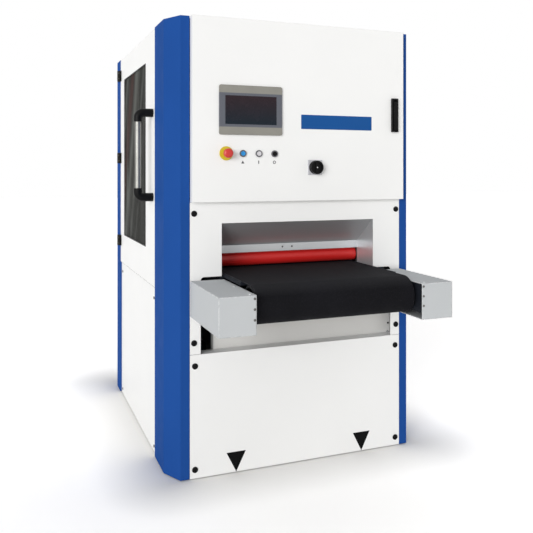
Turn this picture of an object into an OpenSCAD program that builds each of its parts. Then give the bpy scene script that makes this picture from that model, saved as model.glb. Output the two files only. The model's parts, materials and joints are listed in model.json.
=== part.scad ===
// Wide belt sander: floor machine with a lifting feed table, a control door and a side door.
// Millimetres, +Z up, the infeed side faces -Y, the origin is on the floor under the body's centre.

/* [Body] */
// Widest workpiece
work_w = 650; // [600:10:750]
// Body width left over on each side of the widest workpiece, up to the chamfer
side_room = 227.5; // [220:0.5:260]
// Height of the corner columns
body_h = 1960; // [1900:5:2100]
// Column chamfer measured across the front
cham_x = 50; // [30:1:70]
// Column chamfer measured along the side
cham_y = 100; // [70:1:130]
// Width of the column's front flange
col_flange = 39; // [30:1:50]
// Length of the front column's side face
front_side = 184; // [170:1:220]
// Length of the rear column's side face
rear_side = 114; // [105:1:160]
// Length of the side door and side panels
side_span = 980; // [900:5:1100]
// Column sheet thickness
col_t = 4; // [3:0.5:5]
// Panel sheet thickness
sheet = 3; // [2:0.5:4]
// Depth of the folded edges of panels
fold = 18; // [12:1:22]
// Gap around each panel
gap = 1.5; // [1:0.5:3]
// Gap between the cladding and the floor
floor_gap = 3; // [2:1:8]
// How far the side panels sit behind the column's side face
recess = 8; // [4:1:12]
// Width of the column lip that side panels and the side door close against
lip = 20; // [14:1:30]
// Height of the seam between middle and lower front panels
seam_z = 527; // [515:1:535]
// Height of the seam between the side door and the panel below it
side_seam_z = 770; // [740:1:800]

/* [Base frame] */
// Base beam height
base_h = 100; // [80:5:110]
// Base beam width
base_w = 80; // [60:5:90]
// Base beam wall
base_t = 6; // [4:1:8]
// Frame post size
post = 60; // [50:5:60]
// Distance of the anchor holes from the ends of their bar
anchor_in = 58.5; // [40:0.5:80]
// Half distance between anchor holes along the machine
anchor_y = 600; // [560:5:620]
// Anchor hole radius
anchor_r = 9; // [7:0.5:11]
// Panel screw head radius
screw_r = 13; // [10:1:15]
// Panel screw head height
screw_h = 5; // [3:1:6]
// Distance of the upper panels' screws from the panel's side edges
upper_screw_in = 18; // [16:1:24]
// Distance of the lower panels' screws from the panel's side edges
lower_screw_in = 22; // [16:1:26]
// Distance of panel screws from the seams
screw_seam = 49; // [30:1:60]
// Height of the lowest panel screws
screw_low = 40; // [30:1:60]

/* [Infeed] */
// Room between the feed belt's edge and the side of the hood
open_clear = 21.5; // [18:0.5:26]
// Height of the top edge of the opening
open_top = 1080; // [1040:1:1110]
// Depth of the hood
hood_d = 158; // [120:1:200]
// Height of the hood's back edge
hood_low = 966; // [945:1:990]
// Height of the lower edge of the hood's lip
lip_low = 931; // [915:1:935]
// Room between the table's side beams and the sides of the cut-out
cut_clear = 41; // [30:1:45]
// Height of the top of that cut-out
cut_top = 853; // [850:1:856]
// Depth of the ledge on the lower panels
ledge_d = 60; // [30:1:62]
// Radius of the safety flap's front
flap_r = 32; // [24:1:32]
// Gap at each end of the safety flap
flap_side = 2; // [1:0.5:8]

/* [Feed table] */
// Feed belt width beyond the workpiece on each side
belt_over = 25; // [15:1:27]
// Feed belt thickness
belt_t = 3; // [2:0.5:4]
// Height of the belt's upper run
belt_top = 861; // [858:1:862]
// Outer radius of the belt at the rollers
belt_r = 77; // [70:1:78]
// How far the end covers reach out of the body
cover_reach = 411; // [350:1:450]
// Room between the feed belt's edge and the covers
cover_clear = 14; // [10:1:18]
// Width of each end cover
cover_w = 148; // [140:1:156]
// Height of the underside of the covers
cover_low = 691; // [680:1:695]
// Height of the top of the covers
cover_top = 841; // [840:1:848]
// Distance from the covers' end to the belt's end
belt_back = 35; // [20:1:50]
// Width of each side beam
beam_w = 50; // [44:1:54]
// Height of the underside of the side beams
beam_low = 715; // [712:1:720]
// Distance the table can be lowered
travel = 150; // [100:5:150]
// Lifting screw radius
lift_r = 15; // [12:0.5:18]
// Half distance between the lifting screws along the machine
lift_y = 350; // [300:5:400]
// Room left between the table and the screw jacks when the table is down
lift_room = 85; // [60:5:120]
// Half size of the feed gearbox
gearbox = 55; // [45:1:60]
// Feed motor length
feed_motor_len = 175; // [140:1:200]
// Feed motor radius
feed_motor_r = 36; // [30:1:40]
// Length of the drive roller's shaft in the gearbox
drive_end = 70; // [50:1:75]
// Apron plate beyond the side beam on the left
apron_left = 16; // [10:1:40]
// Apron plate beyond the side beam on the right
apron_right = 76; // [60:1:80]
// Radial clearance of shafts in their bores
run = 0.06; // [0.02:0.01:0.1]
// Gap between a belt and its rollers
belt_gap = 0.3; // [0.2:0.1:0.5]

/* [Control door] */
// Height of the lower edge of the control door
door_low = 1173; // [1160:1:1190]
// Thickness of the control door in front of the body
door_t = 37.5; // [34:0.5:42]
// Door sheet thickness
door_sheet = 2.5; // [2:0.5:3]
// Hinge pin radius
hinge_r = 3; // [2.5:0.5:3]
// Length of the hinge straps behind the front
hinge_strap = 42; // [30:1:50]
// Reach of the hinge arms past the hinge axis
hinge_arm = 13.3; // [13:0.1:16]
// Height of the middle panel's edge behind the door
panel_lap = 15; // [10:1:20]
// Clear width in that edge where the door's hinge side swings
hinge_clear = 24; // [20:1:30]
// Touch panel centre from the door's left edge
hmi_in = 259; // [250:1:275]
// Touch panel width
hmi_w = 286; // [270:1:300]
// Touch panel height
hmi_h = 211; // [200:1:220]
// Touch screen width
screen_w = 234; // [220:1:240]
// Touch screen height
screen_h = 122; // [110:1:130]
// How far the touch panel stands out of the door
hmi_proud = 9; // [6:1:12]
// Row of push buttons below the touch panel
button_drop = 80; // [70:1:90]
// Distance between push buttons
button_pitch = 73; // [65:1:76]
// Emergency stop centre from the door's left edge
estop_in = 148; // [140:1:156]
// Emergency stop collar radius
collar_r = 30; // [26:1:32]
// Emergency stop collar thickness
collar_t = 4; // [3:0.5:6]
// Radius of the skirt under the emergency stop head
skirt_r = 15; // [12:1:18]
// Height of that skirt above the door
skirt_h = 16; // [10:1:20]
// Emergency stop head radius
estop_r = 20; // [18:1:24]
// Emergency stop head thickness
estop_h = 24; // [14:1:28]
// Push button ring radius
bezel_r = 15; // [13:0.5:17]
// Push button radius
button_r = 10; // [9:0.5:11]
// Push button stroke
button_stroke = 3; // [2:0.5:4]
// Emergency stop stroke
estop_stroke = 4; // [3:0.5:5]
// Isolator switch centre from the door's left edge
iso_in = 563; // [540:1:580]
// Isolator switch centre above the door's lower edge
iso_up = 148; // [130:1:170]
// Isolator plate size
iso_w = 67; // [60:1:75]
// Isolator knob radius
knob_r = 30; // [26:1:32]
// Isolator knob height above its plate
knob_h = 24; // [18:1:30]
// Width of the isolator knob's rim
knob_rim = 5; // [4:0.5:7]
// Depth of the isolator knob's dished face
knob_dish = 7; // [4:0.5:9]
// Width of the isolator knob's grip
grip_w = 12; // [10:1:18]
// Latch centre from the door's right edge
latch_in = 51; // [40:1:58]
// Latch length
latch_len = 156; // [140:2:180]
// Latch width
latch_w = 31; // [28:1:44]

/* [Side door] */
// How far the side door stands out of the panel below it
side_out = 6; // [0:0.5:7]
// Door in front of the window
win_front = 224; // [200:1:300]
// Door behind the window
win_rear = 133; // [100:1:150]
// Door below the window
win_below = 169; // [150:1:200]
// Door above the window
win_above = 133; // [120:1:160]
// Window pane thickness
pane_t = 5; // [4:0.5:6]
// Window pane overlap on the door
pane_lap = 15; // [10:1:20]
// Handle tube radius
tube_r = 14; // [12:0.5:16]
// Handle stand-off from the door
tube_off = 69; // [62:1:85]
// Distance between the handle's arms
handle_len = 390; // [340:2:420]
// Handle centre above the middle of the door
handle_up = 14; // [0:1:40]
// Handle centre from the door's front edge
handle_in = 53; // [45:1:65]
// Bend radius of the handle's elbows
bend_r = 24; // [23:1:28]
// Length of the elbow sleeves
sleeve = 42; // [34:1:50]
// Wall of the elbow sleeves around the tube
elbow_wall = 5.5; // [3:0.5:6]
// Height of each hinge
hinge_h = 60; // [50:2:70]
// Length of each hinge leaf
hinge_leaf = 28; // [22:1:44]
// Thickness of a side hinge leaf over the side
leaf_t = 12; // [10:1:14]
// Radius of a side hinge knuckle
knuckle_r = 9; // [7:0.5:10]
// Lowest hinge above the door's lower edge
hinge_below = 128; // [100:1:150]
// Highest hinge below the door's upper edge
hinge_above = 95; // [80:1:120]

/* [Sanding head] */
// Contact drum and tension roller radius
drum_r = 80; // [70:1:85]
// Abrasive belt width beyond the workpiece on each side
abr_over = 10; // [5:1:11]
// Abrasive belt thickness
abr_t = 2; // [1.5:0.5:3]
// Gap between the feed belt and the abrasive belt
sand_gap = 5; // [5:0.5:8]
// Room between the abrasive belt and the roof
head_room = 189; // [150:1:220]
// Thickness of the bearing plates
plate_t = 20; // [16:1:24]
// Tension yoke thickness
yoke_t = 12; // [10:1:16]
// Room between the abrasive belt and the plates that hold its rollers
belt_side = 17; // [14:1:20]
// Drum shaft radius
shaft_r = 20; // [16:1:24]
// Tension and feed roller shaft radius
axle_r = 15; // [12:0.5:17]
// Position of the head behind the body's centre
head_y = 110; // [80:1:130]
// Pressure roller radius
press_r = 25; // [20:1:28]
// Pressure roller distance from the drum
press_off = 130; // [125:1:150]
// Motor radius
motor_r = 105; // [90:1:110]
// Motor length without its flange
motor_len = 288; // [240:1:300]
// Motor axis behind the drum
motor_back = 250; // [240:1:270]
// Motor axis above the drum
motor_up = 300; // [280:1:340]
// Drive pulley radius
pulley_r = 55; // [45:1:60]
// Drive pulley width
pulley_w = 25; // [18:1:26]
// Drive belt thickness
drive_t = 6; // [4:0.5:8]
// Dust spigot radius
dust_r = 80; // [60:1:100]
// Dust spigot centre below the top
dust_drop = 460; // [360:5:560]
// Dust spigot length outside the body
dust_len = 74; // [60:1:100]

/* [Control cabinet] */
// Cabinet depth
cab_d = 200; // [160:5:220]
// Cabinet sheet thickness
cab_t = 2; // [1.5:0.5:3]
// Switchgear distance from the cabinet's sides
gear_in = 75; // [50:5:100]
// Drive width
drive_w = 160; // [120:5:180]
// Drive height
drive_h = 125; // [100:5:130]
// Drive depth
drive_d = 110; // [80:5:130]
// Contactor width
contactor_w = 45; // [40:1:50]
// Contactor height
contactor_h = 85; // [70:1:95]
// Contactor depth
contactor_d = 80; // [60:1:90]
// Distance between contactors
contactor_pitch = 60; // [55:1:65]
// Wiring duct height
duct_h = 45; // [30:1:60]
// Wiring duct depth
duct_d = 50; // [40:1:70]

/* [Hidden] */
front_w = work_w + 2 * side_room;
body_w = front_w + 2 * cham_x;
body_d = 2 * cham_y + front_side + side_span + rear_side;
xs = body_w / 2;
yf = -body_d / 2;
yr = body_d / 2;
panel_x = front_w / 2 - col_flange - gap;
side_y0 = yf + cham_y + front_side;
side_y1 = side_y0 + side_span;
side_x = xs - recess;
side_door_x = side_x + side_out;
post_y0 = yf + cham_y + 30;
post_y1 = yr - cham_y - 30;
post_x0 = xs - col_t - post;
base_x1 = xs - 34;
base_x0 = base_x1 - base_w;
anchor_x = base_x0 - anchor_in;
roof_z = body_h - 10;
belt_w = work_w + 2 * belt_over;
cover_in = belt_w / 2 + cover_clear;
cover_out = cover_in + cover_w;
open_w = belt_w + 2 * open_clear;
roller_y = yr + cover_reach - belt_back - belt_r;
roller_z = belt_top - belt_r;
roller_r = belt_r - belt_t - belt_gap;
beam_x0 = cover_in + 10;
beam_x1 = beam_x0 + beam_w;
cut_w = 2 * (beam_x1 + cut_clear);
lift_x = beam_x0 + beam_w / 2;
jack_top = beam_low - travel - lift_room;
jack_floor = base_h + 15;
beam_top = cover_top - sheet;
cover_y = yr + screw_h + 4;
cover_end = yr + cover_reach;
apron_y = yf + ledge_d + 4;
door_y = yf - door_t;
door_top = body_h - 2;
hmi_x = hmi_in - panel_x;
hmi_z = (door_low + door_top) / 2;
button_z = hmi_z - hmi_h / 2 - button_drop;
estop_x = estop_in - panel_x;
button_x = estop_x + 2;
iso_x = iso_in - panel_x;
iso_z = door_low + iso_up;
latch_x = panel_x - latch_in;
latch_z = hmi_z;
hmi_in_w = hmi_w - 36;
hmi_in_h = hmi_h - 35;
stem_r = button_r + 1;
hinge_x = -panel_x + door_sheet + 6;
hinge_y = yf - 12;
hinge_zs = [door_low + 125, (door_low + body_h) / 2, body_h - 125];
side_hinge_low = side_seam_z + hinge_below;
side_hinge_top = body_h - hinge_above;
side_hinge_zs = [side_hinge_low, (side_hinge_low + side_hinge_top) / 2, side_hinge_top];
win_y0 = side_y0 + win_front;
win_y1 = side_y1 - win_rear;
win_z0 = side_seam_z + win_below;
win_z1 = body_h - win_above;
tube_z0 = (side_seam_z + body_h) / 2 + handle_up - handle_len / 2;
tube_z1 = tube_z0 + handle_len;
tube_x = -side_door_x - tube_off;
tube_y = side_y0 + handle_in;
side_hx = -xs - knuckle_r - 0.5;
leaf_in = knuckle_r + 0.6;
side_hy = side_y1;
abr_w = work_w + 2 * abr_over;
abr_r = drum_r + belt_gap + abr_t;
drum_z = belt_top + sand_gap + abr_r;
tens_z = roof_z - head_room - abr_r;
press_z = belt_top + sand_gap + press_r;
wall_x0 = post_x0 - plate_t;
motor_y = head_y + motor_back;
motor_z = drum_z + motor_up;
pull_x0 = post_x0 + 5;
pull_x1 = pull_x0 + pulley_w;
pull_len = sqrt(motor_back * motor_back + motor_up * motor_up);
pull_ang = atan2(motor_up, motor_back);
dust_z = body_h - dust_drop;
cab_x = panel_x - 7;
cab_low = door_low + 17;
cab_top = roof_z - 10;
cab_y = yf + sheet + 0.5;
gear_y = cab_y + cab_d - cab_t;
yoke_x = abr_w / 2 + belt_side + yoke_t;
bar_x = abr_w / 2 + belt_side + 6;
bar_top = press_z + 21;
gear_pitch = (cab_top - cab_low) / 3;
flap_y = yf + hood_d + 37;
flap_z = lip_low - flap_r;
rod_y = yf + hood_d + 20;
rod_z = lip_low + 13;
mid_screws = screw_pairs(panel_x - upper_screw_in, [door_low - screw_seam, seam_z + screw_seam]);
top_screws = screw_pairs(panel_x - upper_screw_in, [body_h - screw_seam]);
low_screws = screw_pairs(panel_x - lower_screw_in, [seam_z - screw_seam, screw_low]);
white = [0.93, 0.93, 0.92];
blue = [0.17, 0.33, 0.62];
grey = [0.72, 0.74, 0.75];
steel = [0.55, 0.56, 0.58];
dark = [0.08, 0.08, 0.09];

// Screw places at both sides, at each of the heights
function screw_pairs(x, zs) = [for (z = zs) for (s = [-1, 1]) [s * x, z]];

// Box between two corners
module box(x0, x1, y0, y1, z0, z1) {
    translate([x0, y0, z0])
        cube([x1 - x0, y1 - y0, z1 - z0]);
}

// Cylinder along X between two ends
module xcyl(x0, x1, y, z, r, n = 48) {
    translate([x0, y, z])
        rotate([0, 90, 0])
            cylinder(h = x1 - x0, r = r, $fn = n);
}

// Cylinder along Y between two ends
module ycyl(y0, y1, x, z, r, n = 48) {
    translate([x, y1, z])
        rotate([90, 0, 0])
            cylinder(h = y1 - y0, r = r, $fn = n);
}

// Cylinder along Z between two ends
module zcyl(z0, z1, x, y, r, n = 48) {
    translate([x, y, z0])
        cylinder(h = z1 - z0, r = r, $fn = n);
}

// Same piece on both sides of the machine's long axis
module both_x() {
    children();
    mirror([1, 0, 0])
        children();
}

// Same piece at both ends of the machine
module both_y() {
    children();
    mirror([0, 1, 0])
        children();
}

// Loop around two equal rollers along X, spaced along Y before turning
module loop(x0, x1, span, r) {
    xcyl(x0, x1, 0, 0, r, 64);
    xcyl(x0, x1, span, 0, r, 64);
    box(x0, x1, 0, span, -r, r);
}

// Roller tube with a middle web, open at both ends around its shaft
module roller(x0, x1, y, z, r, wall, hub) {
    deep = (x1 - x0) / 2 - 25;
    difference() {
        xcyl(x0, x1, y, z, r, 64);
        roller_end(x0 - 1, x0 + deep, y, z, r - wall, hub);
        roller_end(x1 - deep, x1 + 1, y, z, r - wall, hub);
    }
}

// Ring-shaped hollow in one end of a roller
module roller_end(x0, x1, y, z, r, hub) {
    difference() {
        xcyl(x0, x1, y, z, r, 64);
        xcyl(x0 - 1, x1 + 1, y, z, hub, 48);
    }
}

// Column sheet in plan, front left
module column_plan(len) {
    edge = sqrt(cham_x * cham_x + cham_y * cham_y);
    x1 = -front_w / 2;
    y2 = yf + cham_y + len;
    xi = x1 + col_t * (edge - cham_x) / cham_y;
    yi = yf + (col_t * edge + cham_y * (cham_x - col_t)) / cham_x;
    xl = fold - side_x;
    polygon([[x1 + col_flange, yf], [x1, yf], [-xs, yf + cham_y], [-xs, y2], [xl, y2],
        [xl, y2 + lip], [xl + col_t, y2 + lip], [xl + col_t, y2 - col_t], [-xs + col_t, y2 - col_t],
        [-xs + col_t, yi], [xi, yf + col_t], [x1 + col_flange, yf + col_t]]);
}

// Column with a lip behind the side panel and one behind the end panel up to a height
module column(len, lip_top) {
    x1 = col_flange - front_w / 2;
    translate([0, 0, floor_gap])
        linear_extrude(height = body_h - floor_gap)
            column_plan(len);
    box(x1 - col_t, x1 + 12, yf + sheet, yf + sheet + col_t, floor_gap, lip_top);
}

// Upright panel facing along X with folded edges, on the right side
module side_tray(z0, z1, front_gap, face = side_x) {
    y0 = side_y0 + front_gap;
    y1 = side_y1 - gap;
    difference() {
        box(side_x - fold, face, y0, y1, z0, z1);
        box(side_x - fold - 1, face - sheet, y0 + sheet, y1 - sheet, z0 + sheet, z1 - sheet);
    }
}

// Stepped cut-out that the table passes through, at the front
module table_cut(z0) {
    box(-open_w / 2, open_w / 2, yf - 1, yf + sheet + 1, z0, open_top);
    difference() {
        box(-cut_w / 2, cut_w / 2, yf - 1, yf + sheet + 1, z0, cut_top);
        both_x()
            corner_fill();
    }
}

// Rounds a top corner of the cut-out
module corner_fill() {
    difference() {
        box(cut_w / 2 - 15, cut_w / 2 + 1, yf - 2, yf + sheet + 2, cut_top - 15, cut_top + 1);
        ycyl(yf - 3, yf + sheet + 3, cut_w / 2 - 15, cut_top - 15, 15);
    }
}

module screw_holes(list) {
    for (p = list)
        ycyl(yf - 1, yf + sheet + 1, p[0], p[1], 4.5, 24);
}

module lower_panel() {
    difference() {
        box(-panel_x, panel_x, yf, yf + sheet, floor_gap, seam_z - gap / 2);
        screw_holes(low_screws);
    }
    box(14 - panel_x, panel_x - 14, yf + sheet, yf + ledge_d, seam_z - gap / 2 - sheet, seam_z - gap / 2);
}

module base_side_beams() {
    color(steel)
        both_x()
            difference() {
                box(base_x0, base_x1, yf + 60, yr - 60, 0, base_h);
                box(base_x0 + base_t, base_x1 - base_t, yf + 59, yr - 59, base_t, base_h - base_t);
            }
}

module base_cross_bars() {
    color(steel)
        both_y() {
            difference() {
                box(-base_x0, base_x0, anchor_y - 50, anchor_y + 50, 0, 20);
                both_x()
                    zcyl(-1, 21, anchor_x, anchor_y, anchor_r);
            }
            difference() {
                box(-base_x0, base_x0, lift_y - 60, lift_y + 60, 0, base_h);
                box(-base_x0 - 1, base_x0 + 1, lift_y - 54, lift_y + 54, base_t, base_h - base_t);
            }
        }
}

module frame_posts() {
    color(steel)
        both_x() {
            post_at(post_y0);
            post_at(post_y1 - post);
        }
}

module post_at(y) {
    difference() {
        box(post_x0, post_x0 + post, y, y + post, base_h, roof_z);
        box(post_x0 + 4, post_x0 + post - 4, y + 4, y + post - 4, base_h - 1, roof_z + 1);
    }
}

module corner_columns() {
    color(blue)
        both_x() {
            column(front_side, door_low);
            mirror([0, 1, 0])
                column(rear_side, roof_z);
        }
}

module roof_panel() {
    a = front_w / 2 - 8;
    b = side_x - fold - col_t - 2;
    color(white)
        translate([0, 0, roof_z])
            linear_extrude(height = sheet)
                polygon([[-a, yf + 6], [a, yf + 6], [b, yf + 50], [b, yr - 50], [a, yr - 6],
                    [-a, yr - 6], [-b, yr - 50], [-b, yf + 50]]);
}

module front_middle_panel() {
    color(white)
        difference() {
            box(-panel_x, panel_x, yf, yf + sheet, seam_z + gap / 2, door_low + panel_lap);
            box(-panel_x - 1, hinge_clear - panel_x, yf - 1, yf + sheet + 1, door_low - gap,
                door_low + panel_lap + 1);
            table_cut(seam_z - 1);
            screw_holes(mid_screws);
        }
}

module front_lower_panel() {
    color(white)
        lower_panel();
}

module rear_upper_panel() {
    color(white)
        mirror([0, 1, 0])
            difference() {
                box(-panel_x, panel_x, yf, yf + sheet, seam_z + gap / 2, door_top);
                table_cut(seam_z - 1);
                screw_holes(concat(mid_screws, top_screws));
                ycyl(yf - 1, yf + sheet + 1, 0, dust_z, dust_r + 0.5, 64);
            }
}

module rear_lower_panel() {
    color(white)
        mirror([0, 1, 0])
            lower_panel();
}

// Plain hood over the outlet, without a flap
module outfeed_hood() {
    y0 = yr - hood_d;
    y1 = yr - sheet;
    color(grey) {
        both_x()
            box(open_w / 2, open_w / 2 + sheet, y0, y1, cut_top + 5, open_top + sheet);
        box(-open_w / 2, open_w / 2, y0, y1, open_top, open_top + sheet);
        box(-open_w / 2, open_w / 2, y0, y0 + sheet, lip_low, open_top);
    }
}

module side_lower_panels() {
    color(white)
        both_x()
            side_tray(floor_gap, side_seam_z - gap / 2, gap);
}

module right_upper_panel() {
    color(white)
        side_tray(side_seam_z + gap / 2, door_top, gap);
}

module panel_screws() {
    color(dark) {
        both_y()
            screw_set(concat(mid_screws, low_screws));
        mirror([0, 1, 0])
            screw_set(top_screws);
    }
}

module screw_set(list) {
    for (p = list) {
        ycyl(yf - screw_h, yf, p[0], p[1], screw_r, 40);
        ycyl(yf - 1, yf + 14, p[0], p[1], 4, 24);
    }
}

// Hood behind the opening, at the front
module hood() {
    y0 = yf + sheet;
    y1 = yf + hood_d;
    difference() {
        union() {
            both_x()
                translate([open_w / 2, 0, 0])
                    rotate([90, 0, 90])
                        linear_extrude(height = sheet)
                            polygon([[y0, cut_top + 5], [y1, cut_top + 5], [y1, rod_z - 15],
                                [y1 + 34, rod_z - 15], [y1 + 34, rod_z + 15], [y1, hood_low + 12],
                                [y0, open_top + 3]]);
            translate([-open_w / 2, 0, 0])
                rotate([90, 0, 90])
                    linear_extrude(height = open_w)
                        polygon([[y0, open_top], [y1, hood_low], [y1, lip_low], [y1 + sheet, lip_low],
                            [y1 + sheet, hood_low + 3], [y0, open_top + 4]]);
        }
        both_x()
            xcyl(open_w / 2 - 1, open_w / 2 + sheet + 1, rod_y, rod_z, 6 + run, 40);
    }
}

module infeed_hood() {
    color(grey)
        hood();
}

module safety_flap() {
    half = open_w / 2 - flap_side;
    color([0.78, 0.12, 0.1]) {
        difference() {
            xcyl(-half, half, flap_y, flap_z, flap_r, 64);
            box(-half - 1, half + 1, flap_y, flap_y + flap_r + 1, flap_z - flap_r - 1,
                flap_z + flap_r + 1);
        }
        box(-half, half, rod_y - 2, rod_y + 4, flap_z, rod_z);
        xcyl(-open_w / 2 - sheet, open_w / 2 + sheet, rod_y, rod_z, 6, 40);
    }
}

module cabinet_shell() {
    color(grey)
        difference() {
            union() {
                box(-cab_x, cab_x, cab_y, cab_y + cab_d, cab_low, cab_top);
                for (z = [cab_low + 83, cab_top - 130])
                    box(-post_x0, post_x0, post_y0 + 4, post_y0 + 34, z, z + 40);
            }
            box(-cab_x + cab_t, cab_x - cab_t, cab_y - 1, gear_y, cab_low + cab_t, cab_top - cab_t);
        }
}

// Block on the cabinet's back, centred on one of its rows
module gear(x, w, d, row, h) {
    z = cab_low + gear_pitch * (row + 0.5);
    box(x, x + w, gear_y - d, gear_y, z - h / 2, z + h / 2);
}

// Row of equal blocks starting from the left
module gear_row(x, n, row) {
    for (i = [0:n - 1])
        gear(x + i * contactor_pitch, contactor_w, contactor_d, row, contactor_h);
}

module switchgear() {
    x0 = gear_in - cab_x;
    x1 = cab_x - gear_in;
    color([0.35, 0.36, 0.38]) {
        gear(x0, drive_w, drive_d, 2, drive_h);
        gear(x0 + drive_w + 40, drive_w, drive_d, 2, drive_h);
        gear_row(x1 - 4 * contactor_pitch, 4, 2);
        gear_row(x0, 5, 1);
        gear(x1 - 2.5 * drive_w, 2.5 * drive_w, duct_d, 1, duct_h);
        gear(x0, x1 - x0, duct_d, 0, duct_h);
    }
}

// Hidden hinges with bent arms, so that the door's edge swings past them
module control_hinges() {
    x1 = hinge_x + hinge_arm;
    color(dark)
        for (z = hinge_zs) {
            zcyl(z - 15, z + 15, hinge_x, hinge_y, 5.5, 40);
            zcyl(z - 30, z + 30, hinge_x, hinge_y, hinge_r, 40);
            box(hinge_x, x1, hinge_y - 8, hinge_y - 1, z - 15, z + 15);
            box(x1 - 2, x1, hinge_y - 8, yf + hinge_strap, z - 15, z + 15);
            box(cab_t - cab_x, x1, yf + hinge_strap - 15, yf + hinge_strap, z - 15, z + 15);
        }
}

module side_hinge_blocks() {
    color(dark)
        for (z = side_hinge_zs) {
            zcyl(z - hinge_h / 2, z - 0.3, side_hx, side_hy, knuckle_r, 40);
            box(-xs - leaf_t, -xs, side_hy + 1.5, side_hy + hinge_leaf, z - hinge_h / 2, z - 0.3);
            box(-xs - leaf_t, -xs, side_hy + leaf_in, side_hy + hinge_leaf, z - hinge_h / 2,
                z + hinge_h / 2);
            zcyl(z - 1, z + hinge_h / 2, side_hx, side_hy, 4, 40);
        }
}

module dust_spigot() {
    color(grey)
        difference() {
            union() {
                ycyl(yr - 40, yr + dust_len, 0, dust_z, dust_r, 96);
                ycyl(yr, yr + 4, 0, dust_z, dust_r + 25, 96);
            }
            ycyl(yr - 41, yr + dust_len + 1, 0, dust_z, dust_r - sheet, 96);
        }
}

module bearing_wall() {
    color([0.4, 0.42, 0.45])
        difference() {
            box(wall_x0, post_x0, post_y0 + 40, post_y1, drum_z - 50, tens_z + 80);
            xcyl(wall_x0 - 1, post_x0 + 1, head_y, drum_z, shaft_r + run, 64);
            xcyl(wall_x0 - 1, post_x0 + 1, motor_y, motor_z, 22, 64);
        }
}

module head_beam() {
    x0 = -abr_w / 2 - belt_side;
    z0 = drum_z + drum_r + 50;
    z1 = tens_z - 2 * drum_r;
    color([0.4, 0.42, 0.45])
        difference() {
            union() {
                box(x0, wall_x0, head_y - 45, head_y + 45, z0, z1);
                box(x0 - plate_t, x0, head_y - 70, head_y + 70, bar_top, z1);
            }
            xcyl(x0 - plate_t - 1, x0 + 1, head_y, drum_z, shaft_r + run, 64);
            box(x0, wall_x0 + 1, head_y - 37, head_y + 37, z0 + 8, z1 - 8);
        }
}

module tension_yoke() {
    x0 = abr_w / 2 + belt_side;
    x1 = x0 + yoke_t;
    z0 = tens_z - drum_r - 30;
    color(steel)
        difference() {
            union() {
                zcyl(tens_z - 2 * drum_r, z0, 0, head_y, 40, 64);
                box(-x1, x1, head_y - 22, head_y + 22, z0, z0 + 18);
                both_x()
                    box(x0, x1, head_y - 22, head_y + 22, z0 + 10, tens_z + axle_r + 9);
            }
            both_x()
                xcyl(x0 - 1, x1 + 1, head_y, tens_z, axle_r + run, 48);
        }
}

module abrasive_belt() {
    color([0.36, 0.17, 0.12])
        translate([0, head_y, drum_z])
            rotate([90, 0, 0])
                difference() {
                    loop(-abr_w / 2, abr_w / 2, tens_z - drum_z, abr_r);
                    loop(-abr_w / 2 - 1, abr_w / 2 + 1, tens_z - drum_z, abr_r - abr_t);
                }
}

module contact_drum() {
    color(dark) {
        roller(-abr_w / 2 - 5, abr_w / 2 + 5, head_y, drum_z, drum_r, 16, shaft_r + 6);
        xcyl(-abr_w / 2 - belt_side - plate_t, pull_x1 + 3, head_y, drum_z, shaft_r, 64);
        xcyl(pull_x0, pull_x1, head_y, drum_z, pulley_r, 64);
    }
}

module tension_roller() {
    color(steel) {
        roller(-abr_w / 2 - 5, abr_w / 2 + 5, head_y, tens_z, drum_r, 8, axle_r + 5);
        xcyl(-yoke_x, yoke_x, head_y, tens_z, axle_r, 48);
    }
}

module main_motor() {
    x = wall_x0 - 12;
    color([0.3, 0.34, 0.4]) {
        xcyl(x, wall_x0, motor_y, motor_z, motor_r + 15, 64);
        xcyl(x - motor_len, x, motor_y, motor_z, motor_r, 64);
        box(x - 180, x - 80, motor_y - 50, motor_y + 50, motor_z, motor_z + motor_r + 40);
    }
}

module motor_pulley() {
    color(steel) {
        xcyl(wall_x0 + 0.3, pull_x1 + 3, motor_y, motor_z, 16, 48);
        xcyl(pull_x0, pull_x1, motor_y, motor_z, pulley_r, 64);
    }
}

module drive_belt() {
    color(dark)
        translate([0, head_y, drum_z])
            rotate([pull_ang, 0, 0])
                difference() {
                    loop(pull_x0 + 2, pull_x1 - 2, pull_len, pulley_r + belt_gap + drive_t);
                    loop(pull_x0 + 1, pull_x1 - 1, pull_len, pulley_r + belt_gap);
                }
}

module pressure_brackets() {
    color(steel) {
        both_x()
            press_bar();
        box(bar_x + yoke_t, wall_x0, head_y - 20, head_y + 20, press_z - 10, bar_top);
        box(wall_x0 - 12, wall_x0, head_y - 20, head_y + 20, press_z - 10, drum_z - 30);
    }
}

module press_bar() {
    difference() {
        box(bar_x, bar_x + yoke_t, head_y - press_off - 20, head_y + press_off + 20, press_z - 15, bar_top);
        for (s = [-1, 1])
            xcyl(bar_x - 1, bar_x + yoke_t + 1, head_y + s * press_off, press_z, 10 + run, 40);
    }
}

module press_roller(y) {
    color(dark) {
        xcyl(8 - bar_x, bar_x - 8, y, press_z, press_r, 48);
        xcyl(-bar_x - yoke_t, bar_x + yoke_t, y, press_z, 10, 40);
    }
}

module pressure_roller_front() {
    press_roller(head_y - press_off);
}

module pressure_roller_rear() {
    press_roller(head_y + press_off);
}

module screw_jacks() {
    color([0.3, 0.34, 0.4])
        both_x()
            both_y()
                difference() {
                    box(lift_x - 55, lift_x + 55, lift_y - 55, lift_y + 55, base_h, jack_top);
                    zcyl(jack_floor, jack_top + 1, lift_x, lift_y, lift_r + run, 64);
                }
}

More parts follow.
